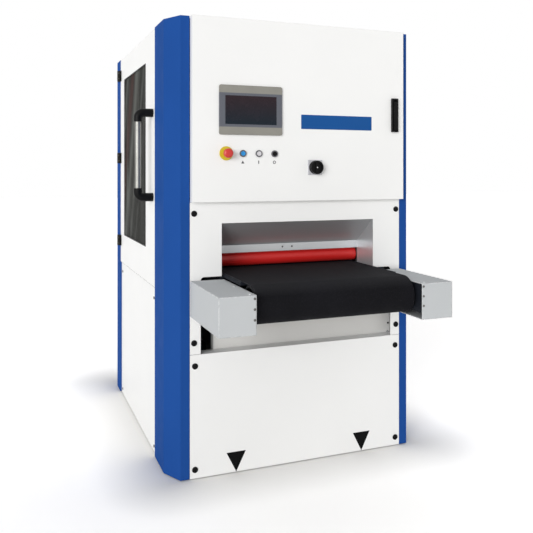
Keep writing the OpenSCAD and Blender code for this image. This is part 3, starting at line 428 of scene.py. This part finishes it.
OWN_FINISH = {
    "lift_screws": THREAD,
    "drive_belt": MATERIALS["drum_rubber"],
    "table_bed": BEAM_COAT,
    "table_beams": BEAM_COAT,
    "idler_roller": BLACKED,
    "drive_roller": BLACKED,
    "infeed_hood": SILVER,
    "outfeed_hood": SILVER,
    "apron_plates": APRON_COAT_WITH_PAINTED_SHADE,
}
for part in frame["record"]["subparts"]:
    node = NODES[part["node"]]
    node.data.materials.clear()
    node.data.materials.append(OWN_FINISH.get(part["node"], MATERIALS[part["material_slot"]]))


# Mesh tools

SHARP_ANGLE = math.radians(32)
MERGE_DISTANCE = 1e-6
NEARLY_UP = 0.9
CORNER_STEPS = 5


def axes_for(normal):
    """Two directions across a normal, the second one upright where it can be."""
    v = UP if abs(normal.z) < NEARLY_UP else BACK
    return v.cross(normal).normalized(), v


class Piece:
    """One mesh built from turned and cut forms, then dressed and set to ride on a body."""

    def __init__(self, name):
        self.name = name
        self.bm = bmesh.new()

    def rings(self, rings, closed_ends=True):
        """Skin over rings of points, of which any may be a single point."""
        loops = [[self.bm.verts.new(p) for p in ring] for ring in rings]
        for a, b in zip(loops, loops[1:]):
            if len(a) == 1 and len(b) == 1:
                continue
            n = max(len(a), len(b))
            for i in range(n):
                j = (i + 1) % n
                corners = [a[i % len(a)], a[j % len(a)], b[j % len(b)], b[i % len(b)]]
                self.bm.faces.new(list(dict.fromkeys(corners)))
        if closed_ends:
            for loop in (loops[0], loops[-1]):
                if len(loop) > 2:
                    self.bm.faces.new(loop)

    def ring_shell(self, rings):
        """Skin through these rings and back to the first one, with a hole through its middle."""
        self.rings(rings + [rings[0]], closed_ends=False)
        bmesh.ops.remove_doubles(self.bm, verts=self.bm.verts, dist=MERGE_DISTANCE)

    def turned(self, place, normal, profile, segments, hollow=False):
        """Form turned about normal from (radius, height) pairs. A hollow one is open in its middle."""
        u, v = axes_for(normal)
        rings = []
        for r, h in profile:
            if r == 0:
                rings.append([place + normal * h])
                continue
            ring = []
            for k in range(segments):
                a = 2 * math.pi * k / segments
                ring.append(place + normal * h + (u * math.cos(a) + v * math.sin(a)) * r)
            rings.append(ring)
        if hollow:
            self.ring_shell(rings)
        else:
            self.rings(rings)

    def cut(self, outline, place, normal, depth, chamfer=0.0):
        """Flat form with this outline (pairs across and up), its front edge chamfered."""
        u, v = axes_for(normal)
        cx = sum(p[0] for p in outline) / len(outline)
        cy = sum(p[1] for p in outline) / len(outline)

        def ring(h, inset):
            points = []
            for x, y in outline:
                d = math.hypot(x - cx, y - cy)
                s = max(0.0, 1 - inset / d) if d else 1.0
                points.append(place + normal * h + u * (cx + (x - cx) * s) + v * (cy + (y - cy) * s))
            return points

        stack = [ring(0.0, 0.0), ring(depth - chamfer, 0.0)]
        if chamfer:
            stack.append(ring(depth, chamfer))
        self.rings(stack)

    def framed(self, outer, inner, place, normal, depth, rise=0.0):
        """Closed frame between two outlines with as many points each, crowned by rise."""
        u, v = axes_for(normal)

        def ring(outline, h):
            return [place + normal * h + u * x + v * y for x, y in outline]

        mid = [((a[0] + b[0]) / 2, (a[1] + b[1]) / 2) for a, b in zip(outer, inner)]
        self.ring_shell([ring(outer, 0.0), ring(outer, depth), ring(mid, depth + rise), ring(inner, depth),
                         ring(inner, 0.0)])

    def done(self, material, body, slot, replaces=()):
        bmesh.ops.recalc_face_normals(self.bm, faces=self.bm.faces)
        mesh = bpy.data.meshes.new(self.name)
        self.bm.to_mesh(mesh)
        self.bm.free()
        for poly in mesh.polygons:
            poly.use_smooth = True
        mesh.set_sharp_from_angle(angle=SHARP_ANGLE)
        mesh.materials.append(material)
        obj = bpy.data.objects.new(self.name, mesh)
        bpy.context.scene.collection.objects.link(obj)
        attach(obj, body)
        if replaces:
            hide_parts(*replaces)


def scaled(pairs, across=MM, along=MM):
    """Profile or outline from pairs, which are millimetres unless other sizes are given."""
    return [(a * across, b * along) for a, b in pairs]


def round_rect(w, h, r):
    """Outline of a rectangle with round corners, centred."""
    points = []
    for sx, sy, start in ((1, 1, 0), (-1, 1, 90), (-1, -1, 180), (1, -1, 270)):
        for k in range(CORNER_STEPS + 1):
            a = math.radians(start + 90 * k / CORNER_STEPS)
            points.append((sx * (w / 2 - r) + r * math.cos(a), sy * (h / 2 - r) + r * math.sin(a)))
    return points


# Low round screw head with a socket, as shares of its radius and height
SCREW_HEAD = ((1, 0), (1, 0.45), (0.88, 0.85), (0.66, 1), (0.46, 1), (0.42, 0.45), (0, 0.4))

# Radius and height of each kind of screw head
PANEL_SCREW = (7 * MM, 4 * MM)
LIP_SCREW = (4.5 * MM, 2.5 * MM)
SPIGOT_SCREW = (6 * MM, 4 * MM)
ISOLATOR_SCREW = (3.2 * MM, 1.6 * MM)
HINGE_SCREW = (4 * MM, 2 * MM)
COVER_END_SCREW = (5 * MM, 2 * MM)
COVER_TOP_SCREW = (5 * MM, 2.5 * MM)
APRON_SCREW = (5 * MM, 3 * MM)
TERMINAL_SCREW = (3.4 * MM, 1.8 * MM)
MOTOR_BOX_SCREW = (4 * MM, 2 * MM)


def screws(name, places, normal, size, body, material=ZINC, slot="machine_steel"):
    """One piece with a screw head of this size at each place."""
    piece = Piece(name)
    for place in places:
        piece.turned(Vector(place), normal, scaled(SCREW_HEAD, *size), segments=18)
    piece.done(material, body, slot)


# Panel screw caps, as shares of the CAD screw's radius and height

CAP_SHAPE = ((1, 0), (1, 0.35), (0.94, 0.66), (0.74, 0.93), (0.55, 1), (0.40, 1), (0.36, 0.5), (0, 0.45))
front_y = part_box("front_lower_panel")[0].y
caps = Piece("panel_screw_caps")
for lo, hi in solids("panel_screws"):
    c = middle(lo, hi)
    at_front = c.y < 0
    face = front_y if at_front else -front_y
    height = abs((lo.y if at_front else hi.y) - face)
    caps.turned(Vector((c.x, face, c.z)), FRONT if at_front else BACK,
                scaled(CAP_SHAPE, (hi.x - lo.x) / 2, height), segments=36)
caps.done(MATERIALS["black_plastic"], "machine", "black_plastic", ["panel_screws"])


# Fork marks

FORK_X = (-306 * MM, 308 * MM)
FORK_HALF, FORK_TOP, FORK_TIP = 44 * MM, 90 * MM, 4 * MM
FORK_FILM = 0.35 * MM
forks = Piece("fork_marks")
for x in FORK_X:
    forks.cut([(-FORK_HALF, FORK_TOP), (FORK_HALF, FORK_TOP), (0, FORK_TIP)], Vector((x, front_y, 0)), FRONT,
              FORK_FILM)
forks.done(DECAL, "machine", "black_plastic")


# Screws of the cladding and the hood

SIDE_IN, SIDE_UP, SIDE_DOWN = 45 * MM, 28 * MM, 52 * MM
side_panels = solids("side_lower_panels")
for (lo, hi), out, side in zip(side_panels, (LEFT, RIGHT), ("left", "right")):
    x = lo.x if out == LEFT else hi.x
    spots = [(x, y, z) for y in (lo.y + SIDE_IN, hi.y - SIDE_IN) for z in (lo.z + SIDE_UP, hi.z - SIDE_DOWN)]
    screws("side_panel_screws_" + side, spots, out, PANEL_SCREW, "machine", SCREW_STEEL)

upper_lo, upper_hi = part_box("right_upper_panel")
rows = (upper_lo.z + SIDE_IN, (upper_lo.z + upper_hi.z) / 2, upper_hi.z - SIDE_IN)
screws("right_panel_screws",
       [(upper_hi.x, y, z) for y in (upper_lo.y + SIDE_IN, upper_hi.y - SIDE_IN) for z in rows],
       RIGHT, PANEL_SCREW, "machine")

ROOF_X, ROOF_Y = 500 * MM, 690 * MM
roof_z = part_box("roof_panel")[1].z
screws("roof_screws", [(sx * ROOF_X, sy * ROOF_Y, roof_z) for sx in (-1, 1) for sy in (-1, 1)], UP,
       PANEL_SCREW, "machine")

LIP_BACK, LIP_Z, LIP_X = 155 * MM, 950 * MM, 24 * MM
lip_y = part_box("infeed_hood")[0].y + LIP_BACK
screws("hood_lip_screws", [(x, lip_y, LIP_Z) for x in (-LIP_X, LIP_X)], FRONT, LIP_SCREW, "machine",
       SCREW_STEEL)


# Dust spigot and cable gland

SPIGOT_FLANGE, SPIGOT_RIM = 4 * MM, 25 * MM
BOLTS, BOLT_IN = 8, 12 * MM
BEAD_BACK = 14 * MM
BEAD_RISE = ((0, 0), (1.6, 1.5), (2.4, 4), (1.6, 6.5), (0, 8))
spigot_lo, spigot_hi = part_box("dust_spigot")
spigot_mid = middle(spigot_lo, spigot_hi)
flange_r = (spigot_hi.x - spigot_lo.x) / 2
pipe_r = flange_r - SPIGOT_RIM
bolt_r = flange_r - BOLT_IN
bolt_angles = [math.radians(360 / BOLTS * (k + 0.5)) for k in range(BOLTS)]
screws("spigot_screws",
       [(spigot_mid.x + bolt_r * math.cos(a), -front_y + SPIGOT_FLANGE, spigot_mid.z + bolt_r * math.sin(a))
        for a in bolt_angles], BACK, SPIGOT_SCREW, "machine")
bead = Piece("spigot_bead")
bead.turned(Vector((spigot_mid.x, spigot_hi.y - BEAD_BACK, spigot_mid.z)), BACK,
            [(pipe_r + rise, at) for rise, at in scaled(BEAD_RISE)], segments=96, hollow=True)
bead.done(ZINC, "machine", "machine_steel")

GLAND_X, GLAND_Z = 400 * MM, 150 * MM
GLAND = ((17, 0), (17, 7), (14, 8), (14, 14), (16, 15), (15, 26), (11, 31), (7, 32), (6.5, 20), (0, 20))
gland = Piece("cable_gland")
gland.turned(Vector((GLAND_X, -front_y, GLAND_Z)), BACK, scaled(GLAND), segments=36)
gland.done(MATERIALS["black_plastic"], "machine", "black_plastic")


# Bare plate and print marks on the control door

PLATE_X, PLATE_Z = (-15 * MM, 341 * MM), (1491.5 * MM, 1555 * MM)
PLATE_CORNER, PLATE_T, PLATE_EDGE = 3 * MM, 1.2 * MM, 0.4 * MM
door_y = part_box("control_door")[0].y
plate = Piece("name_plate")
plate.cut(round_rect(PLATE_X[1] - PLATE_X[0], PLATE_Z[1] - PLATE_Z[0], PLATE_CORNER),
          Vector((sum(PLATE_X) / 2, door_y, sum(PLATE_Z) / 2)), FRONT, PLATE_T, PLATE_EDGE)
plate.done(BARE_PLATE, "control_door", "blue_paint")

# Width, height and corner radius of the bar and of the ring's two edges, and the triangle's points
BAR = (4 * MM, 14 * MM, 1 * MM)
RING_OUTSIDE, RING_INSIDE = (14 * MM, 14 * MM, 6.9 * MM), (8 * MM, 8 * MM, 3.9 * MM)
TRIANGLE = ((-7, -6), (7, -6), (0, 7))
MARK_DROP, MARK_FILM = 37 * MM, 0.3 * MM


def below(node):
    """Place of the mark under a button."""
    c = middle(*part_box(node))
    return Vector((c.x, door_y, c.z - MARK_DROP))


marks = Piece("button_marks")
marks.cut(scaled(TRIANGLE), below("reset_button"), FRONT, MARK_FILM)
marks.cut(round_rect(*BAR), below("start_button"), FRONT, MARK_FILM)
marks.framed(round_rect(*RING_OUTSIDE), round_rect(*RING_INSIDE), below("stop_button"), FRONT, MARK_FILM)
marks.done(DARK_MARK, "control_door", "black_plastic")


# Emergency stop and push buttons

# Pairs of a share of the radius and millimetres: above the neck for the skirt, below the front for the dome
STOP_SKIRT = ((0.80, 0), (0.97, 1), (1, 3))
STOP_DOME = ((1, 7), (0.96, 4.4), (0.82, 2), (0.55, 0.5), (0.25, 0), (0, 0))
STOP_NECK_R, STOP_GAP = 8 * MM, 5 * MM
stop_lo, stop_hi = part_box("estop_button")
stop_mid = middle(stop_lo, stop_hi)
stop_r, stop_long = (stop_hi.x - stop_lo.x) / 2, stop_hi.y - stop_lo.y
neck = stop_long - (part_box("estop_collar")[0].y - STOP_GAP - stop_lo.y)
stop = Piece("estop_mushroom")
stop.turned(Vector((stop_mid.x, stop_hi.y, stop_mid.z)), FRONT,
            [(0, 0), (STOP_NECK_R, 0), (STOP_NECK_R, neck)]
            + [(r, neck + up) for r, up in scaled(STOP_SKIRT, stop_r)]
            + [(r, stop_long - down) for r, down in scaled(STOP_DOME, stop_r)], segments=56)
stop.done(MATERIALS["red_plastic"], "estop_button", "red_plastic", ["estop_button"])

# Pairs of a share of the radius and millimetres below the front
CAP_FACE = ((1, 1.6), (0.94, 0.4), (0.86, 0), (0.74, 0.3), (0.4, 1.0), (0, 1.2))
CAP_SLOTS = {"reset_button": "blue_plastic", "start_button": "light_plastic", "stop_button": "black_plastic"}
for node, slot in CAP_SLOTS.items():
    lo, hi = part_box(node)
    c, r, length = middle(lo, hi), (hi.x - lo.x) / 2, hi.y - lo.y
    cap = Piece(node + "_cap")
    cap.turned(Vector((c.x, hi.y, c.z)), FRONT,
               [(0, 0), (r, 0)] + [(edge, length - down) for edge, down in scaled(CAP_FACE, r)], segments=40)
    cap.done(MATERIALS[slot], node, slot, [node])


# Isolator switch and latch

DOT = ((0, 0), (3, 0), (3, 0.2), (2.6, 0.3), (0, 0.3))
TICK_ALONG, TICK_ACROSS, TICK_CORNER, TICK_FILM = 2.4 * MM, 2.0 * MM, 0.4 * MM, 0.2 * MM
TICK_OUT, ISOLATOR_SCREW_OUT = 31.8 * MM, 27 * MM
knob_lo, knob_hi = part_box("isolator_knob")
knob_mid = middle(knob_lo, knob_hi)
isolator_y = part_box("isolator_plate")[0].y
dot = Piece("isolator_dot")
dot.turned(Vector((knob_mid.x, knob_lo.y, knob_mid.z)), FRONT, scaled(DOT), segments=24)
dot.done(PALE_MARK, "isolator_knob", "light_plastic")

ticks = Piece("isolator_ticks")
ticks.cut(round_rect(TICK_ACROSS, TICK_ALONG, TICK_CORNER),
          Vector((knob_mid.x, isolator_y, knob_mid.z + TICK_OUT)), FRONT, TICK_FILM)
ticks.cut(round_rect(TICK_ALONG, TICK_ACROSS, TICK_CORNER),
          Vector((knob_mid.x + TICK_OUT, isolator_y, knob_mid.z)), FRONT, TICK_FILM)
ticks.done(DARK_MARK, "control_door", "black_plastic")
screws("isolator_screws",
       [(knob_mid.x + sx * ISOLATOR_SCREW_OUT, isolator_y, knob_mid.z + sz * ISOLATOR_SCREW_OUT)
        for sx in (-1, 1) for sz in (-1, 1)], FRONT, ISOLATOR_SCREW, "control_door")

BARREL = ((7, 0), (7, 1.0), (6, 1.6), (2.6, 1.6), (2.2, 0.6), (0, 0.6))
BARREL_UP = 20 * MM
latch_lo, latch_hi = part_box("latch_lever")
barrel = Piece("latch_barrel")
barrel.turned(Vector((middle(latch_lo, latch_hi).x, latch_lo.y, latch_lo.z + BARREL_UP)), FRONT,
              scaled(BARREL), segments=30)
barrel.done(MATERIALS["black_plastic"], "latch_lever", "black_plastic")


# Side door seals and hinge screws

PANE_LAP = 15 * MM
SEAL_OUT, SEAL_OUT_CORNER, SEAL_IN, SEAL_IN_CORNER = 6 * MM, 5 * MM, 5 * MM, 3 * MM
SEAL_SINK, SEAL_DEPTH, SEAL_CROWN = 0.5 * MM, 1.4 * MM, 1.0 * MM
side_lo, side_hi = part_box("side_door")
pane_lo, pane_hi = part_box("side_window")
pane_mid = middle(pane_lo, pane_hi)
open_w, open_h = pane_hi.y - pane_lo.y - 2 * PANE_LAP, pane_hi.z - pane_lo.z - 2 * PANE_LAP
seal = Piece("window_seal")
seal.framed(round_rect(open_w + SEAL_OUT, open_h + SEAL_OUT, SEAL_OUT_CORNER),
            round_rect(open_w - SEAL_IN, open_h - SEAL_IN, SEAL_IN_CORNER),
            Vector((side_lo.x + SEAL_SINK, pane_mid.y, pane_mid.z)), LEFT, SEAL_DEPTH, SEAL_CROWN)
seal.done(MATERIALS["drum_rubber"], "side_door", "drum_rubber")

FOOT_SHARE, FOOT_DEPTH, FOOT_SINK, FOOT_END, FOOT_CORNER = 0.6, 4.5 * MM, 0.5 * MM, 5 * MM, 0.4 * MM
foot_h = FOOT_SHARE * (side_lo.z - side_panels[0][1].z)
foot_back = side_lo.x + FOOT_DEPTH + FOOT_SINK
foot = Piece("door_foot_seal")
foot.cut(round_rect(side_hi.y - side_lo.y - 2 * FOOT_END, foot_h, FOOT_CORNER),
         Vector((foot_back, middle(side_lo, side_hi).y, side_lo.z - foot_h / 2)), LEFT, FOOT_DEPTH)
foot.done(MATERIALS["drum_rubber"], "side_door", "drum_rubber")

LEAF_IN, LEAF_END, KNUCKLE_OUT = 9 * MM, 14 * MM, 6.5 * MM
for node, body in (("side_hinge_blocks", "machine"), ("side_hinge_leaves", "side_door")):
    spots = []
    for lo, hi in solids(node):
        y = hi.y - LEAF_IN if body == "machine" else lo.y + LEAF_IN
        spots += [(lo.x + KNUCKLE_OUT, y, z) for z in (lo.z + LEAF_END, hi.z - LEAF_END)]
    screws(node + "_screws", spots, LEFT, HINGE_SCREW, body, SCREW_STEEL)


# Feed table screws

COVER_END_X, COVER_END_Z = 371 * MM, (828 * MM, 788 * MM, 748 * MM)
COVER_TOP_X, COVER_TOP_BACK = 385 * MM, (19 * MM, 205 * MM)
cover_lo, cover_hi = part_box("table_covers")
for end, y, out in (("front", cover_lo.y, FRONT), ("rear", cover_hi.y, BACK)):
    screws("cover_screws_" + end, [(sx * COVER_END_X, y, z) for sx in (-1, 1) for z in COVER_END_Z], out,
           COVER_END_SCREW, "table", SCREW_STEEL)
screws("cover_screws_top",
       [(sx * COVER_TOP_X, y, cover_hi.z) for sx in (-1, 1) for back in COVER_TOP_BACK
        for y in (cover_lo.y + back, cover_hi.y - back)], UP, COVER_TOP_SCREW, "table")

APRON_BLACK, APRON_PALE = (490 * MM, 570 * MM), (487 * MM, 529 * MM)
apron_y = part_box("apron_plates")[0].y
screws("apron_screws", [(APRON_BLACK[0], apron_y, APRON_BLACK[1])], FRONT, APRON_SCREW, "table",
       MATERIALS["black_plastic"], "black_plastic")
screws("apron_screws_pale", [(APRON_PALE[0], apron_y, APRON_PALE[1])], FRONT, APRON_SCREW, "table")


# Switchgear fronts and terminals

DUCT_H, SLOT_PITCH, SLOT_W, SLOT_MARGIN, SLOT_CORNER = 60 * MM, 18 * MM, 5 * MM, 14 * MM, 2 * MM
SLOT_RISE, SLOT_EDGE = 0.6 * MM, 0.2 * MM
FACE_W, FACE_H, FACE_CORNER, FACE_RISE, FACE_EDGE = 0.72, 0.42, 3 * MM, 4 * MM, 1.5 * MM
TERMINAL_PITCH, TERMINAL_IN, FEWEST_TERMINALS = 14 * MM, 8 * MM, 3
terminals, fronts = Piece("switchgear_terminals"), Piece("switchgear_fronts")
for lo, hi in solids("switchgear"):
    w, h, c = hi.x - lo.x, hi.z - lo.z, middle(lo, hi)
    if h < DUCT_H:
        for k in range(int(w / SLOT_PITCH) - 1):
            fronts.cut(round_rect(SLOT_W, h - SLOT_MARGIN, SLOT_CORNER),
                       Vector((lo.x + SLOT_PITCH * (k + 1), lo.y, c.z)), FRONT, SLOT_RISE, SLOT_EDGE)
        continue
    fronts.cut(round_rect(w * FACE_W, h * FACE_H, FACE_CORNER), Vector((c.x, lo.y, c.z)), FRONT, FACE_RISE,
               FACE_EDGE)
    count = max(FEWEST_TERMINALS, int(w / TERMINAL_PITCH))
    for k in range(count):
        for z in (lo.z + TERMINAL_IN, hi.z - TERMINAL_IN):
            terminals.turned(Vector((lo.x + w * (k + 0.5) / count, lo.y, z)), FRONT,
                             scaled(SCREW_HEAD, *TERMINAL_SCREW), segments=14)
terminals.done(ZINC, "machine", "machine_steel")
fronts.done(MATERIALS["black_plastic"], "machine", "black_plastic")


# Finned motor: flange, ribbed body, fan cover and terminal box

FLANGE_T, FLANGE_EDGE, FLANGE_OUT, FLANGE_FACE = 12 * MM, 2 * MM, 15 * MM, 0.8
FINS, FIN_DEPTH = 44, 11 * MM
FAN_LONG, FAN_LAP = 72 * MM, 2 * MM
BOX_BACK, BOX_SINK, BOX_SIZE, BOX_CORNER = 130 * MM, 12 * MM, 98 * MM, 8 * MM
LID_SIZE, LID_CORNER, LID_T, LID_EDGE = 100 * MM, 9 * MM, 9 * MM, 2.5 * MM
LID_SCREW_OUT, LID_SCREW_SINK = 38 * MM, 2 * MM
motor_lo, motor_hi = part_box("main_motor")
pulley_mid = middle(*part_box("motor_pulley"))
axis = Vector((motor_hi.x, pulley_mid.y, pulley_mid.z))
motor_long = motor_hi.x - motor_lo.x
motor_flange_r = pulley_mid.z - motor_lo.z
body_r = motor_flange_r - FLANGE_OUT
motor = Piece("finned_motor")
motor.turned(axis, LEFT,
             [(motor_flange_r, 0), (motor_flange_r, FLANGE_T - FLANGE_EDGE),
              (motor_flange_r - FLANGE_EDGE, FLANGE_T), (FLANGE_FACE * body_r, FLANGE_T)], segments=60)
ribs = []
for k in range(FINS * 4):
    r = body_r if k % 4 in (0, 1) else body_r - FIN_DEPTH
    a = 2 * math.pi * k / (FINS * 4)
    ribs.append((r * math.cos(a), r * math.sin(a)))
motor.cut(ribs, axis + LEFT * FLANGE_T, LEFT, motor_long - FLANGE_T - (FAN_LONG - FAN_LAP))

# Pairs with a length in millimetres: the cover's are insets from the body's radius, the grille's shares of it
FAN_COVER = ((14, 0), (1, 0), (1, 58), (6, 68), (16, 72))
FAN_GRILLE = ((0.45, 72), (0.42, 66), (0, 66))
motor.turned(axis + LEFT * (motor_long - FAN_LONG), LEFT,
             [(body_r - inset, long) for inset, long in scaled(FAN_COVER)] + scaled(FAN_GRILLE, body_r),
             segments=60)
box_foot = Vector((motor_hi.x - FLANGE_T - BOX_BACK, pulley_mid.y, pulley_mid.z + body_r - BOX_SINK))
box_h = motor_hi.z - box_foot.z
motor.cut(round_rect(BOX_SIZE, BOX_SIZE, BOX_CORNER), box_foot, UP, box_h - LID_T)
motor.cut(round_rect(LID_SIZE, LID_SIZE, LID_CORNER), box_foot + UP * (box_h - LID_T), UP, LID_T, LID_EDGE)
for sx in (-1, 1):
    for sy in (-1, 1):
        corner = Vector((sx * LID_SCREW_OUT, sy * LID_SCREW_OUT, box_h - LID_SCREW_SINK))
        motor.turned(box_foot + corner, UP, scaled(SCREW_HEAD, *MOTOR_BOX_SCREW), segments=16)
motor.done(MATERIALS["motor_paint"], "machine", "motor_paint", ["main_motor"])


# Floor and surroundings

WHITE, BLACK = (1.0, 1.0, 1.0, 1.0), (0.0, 0.0, 0.0, 1.0)
FLOOR_TONES = (0.945, 0.935, 0.915, 1.0), (0.96, 0.95, 0.93, 1.0)
FLOOR_LIFT = (0.62, 0.62, 0.63, 1.0)
FLOOR_SIZE, FLOOR_DROP = 60.0, 0.5 * MM
FOOTPRINT = (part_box("side_lower_panels")[1].x, -front_y)
SHADOW_ROOM = 300 * MM
AMBIENT, AMBIENT_BEHIND = 0.50, 1.05
BEHIND = (0.6, 0.8, 0.0)


def seen_directly(tree):
    """1 on rays from the camera or by way of gloss or glass, 0 on those that light the object."""
    path = tree.nodes.new("ShaderNodeLightPath")
    total = path.outputs["Is Camera Ray"]
    for ray in ("Is Glossy Ray", "Is Transmission Ray"):
        either = tree.nodes.new("ShaderNodeMath")
        either.operation = "MAXIMUM"
        tree.links.new(total, either.inputs[0])
        tree.links.new(path.outputs[ray], either.inputs[1])
        total = either.outputs[0]
    return total


def floor_material():
    """Pale floor, raised to white for the eye alone and less so near the object; its shadow shows there, and
    the grey ring round its foot is partly that real shadow and partly painted shadow, the floor's own plainer
    tone.
    """
    f = Finish("pale studio floor")
    tone = f.colour_mix(f.span(f.noise(scale=0.8, detail=3.0), 0.0, 1.0), *FLOOR_TONES)
    f.put(Base_Color=tone, Roughness=f.span(f.noise(scale=3.0), 0.85, 0.95), Specular_IOR_Level=0.1)
    lift = f.add("ShaderNodeBsdfDiffuse")
    # Near the object the raise fades out, leaving a grey ring of painted shadow round the foot.
    lift_outside_painted_shadow = f.math("MULTIPLY", seen_directly(f.tree), f.away_from(FOOTPRINT, SHADOW_ROOM))
    f.link(f.colour_mix(lift_outside_painted_shadow, BLACK, FLOOR_LIFT), lift.inputs["Color"])
    both = f.add("ShaderNodeAddShader")
    f.link(f.shader.outputs["BSDF"], both.inputs[0])
    f.link(lift.outputs["BSDF"], both.inputs[1])
    f.link(both.outputs["Shader"], f.tree.nodes["Material Output"].inputs["Surface"])
    return f.mat


def studio_world():
    """Plain white surroundings to the eye. Their light on the object grows towards BEHIND."""
    world = bpy.data.worlds.new("soft studio")
    world.use_nodes = True
    tree = world.node_tree
    tree.nodes.clear()
    direction = tree.nodes.new("ShaderNodeTexCoord")
    facing = tree.nodes.new("ShaderNodeVectorMath")
    facing.operation = "DOT_PRODUCT"
    facing.inputs[1].default_value = BEHIND
    tree.links.new(direction.outputs["Generated"], facing.inputs[0])
    rise = tree.nodes.new("ShaderNodeMapRange")
    rise.inputs["To Min"].default_value = AMBIENT
    rise.inputs["To Max"].default_value = AMBIENT_BEHIND
    tree.links.new(facing.outputs["Value"], rise.inputs["Value"])
    ambient = tree.nodes.new("ShaderNodeBackground")
    ambient.inputs["Color"].default_value = WHITE
    tree.links.new(rise.outputs["Result"], ambient.inputs["Strength"])
    seen = tree.nodes.new("ShaderNodeBackground")
    seen.inputs["Color"].default_value = WHITE
    seen.inputs["Strength"].default_value = 1.0
    pick = tree.nodes.new("ShaderNodeMixShader")
    tree.links.new(seen_directly(tree), pick.inputs["Fac"])
    tree.links.new(ambient.outputs[0], pick.inputs[1])
    tree.links.new(seen.outputs[0], pick.inputs[2])
    out = tree.nodes.new("ShaderNodeOutputWorld")
    tree.links.new(pick.outputs[0], out.inputs["Surface"])
    return world


bpy.ops.mesh.primitive_plane_add(size=FLOOR_SIZE, location=(0, 0, -FLOOR_DROP))
floor = bpy.context.object
floor.name = "studio_floor"
floor.data.materials.append(floor_material())
bpy.context.scene.world = studio_world()


# Key light, from the left and the front; its direction is the way the light travels

KEY_DIRECTION, KEY_STRENGTH, KEY_SPREAD = (0.70, 0.70, -0.10), 2.6, math.radians(32)
key_data = bpy.data.lights.new("key_from_left", "SUN")
key_data.energy = KEY_STRENGTH
key_data.angle = KEY_SPREAD
key = bpy.data.objects.new("key_from_left", key_data)
key.rotation_euler = Vector(KEY_DIRECTION).to_track_quat("-Z", "Y").to_euler()
bpy.context.scene.collection.objects.link(key)


# Camera, fitted to the photograph's straight edges; lengths in pixels are of its 533 pixel frame

IMAGE = 533
FOCAL_PX, CENTRE_Y_PX = 674.9, 171.2
SENSOR, FAR = 36.0, 200.0
CAMERA_AT = (-1240.8 * MM, -3511.7 * MM, 1304.0 * MM)
CAMERA_YAW = -0.370
camera_data = bpy.data.cameras.new("photo_camera")
camera_data.sensor_width = SENSOR
camera_data.lens = FOCAL_PX / IMAGE * SENSOR
camera_data.shift_y = (CENTRE_Y_PX - IMAGE / 2) / IMAGE
camera_data.clip_end = FAR
camera = bpy.data.objects.new("photo_camera", camera_data)
camera.location = CAMERA_AT
camera.rotation_euler = (math.radians(90), 0, CAMERA_YAW)
bpy.context.scene.collection.objects.link(camera)
bpy.context.scene.camera = camera

bpy.context.scene.view_settings.view_transform = "Standard"
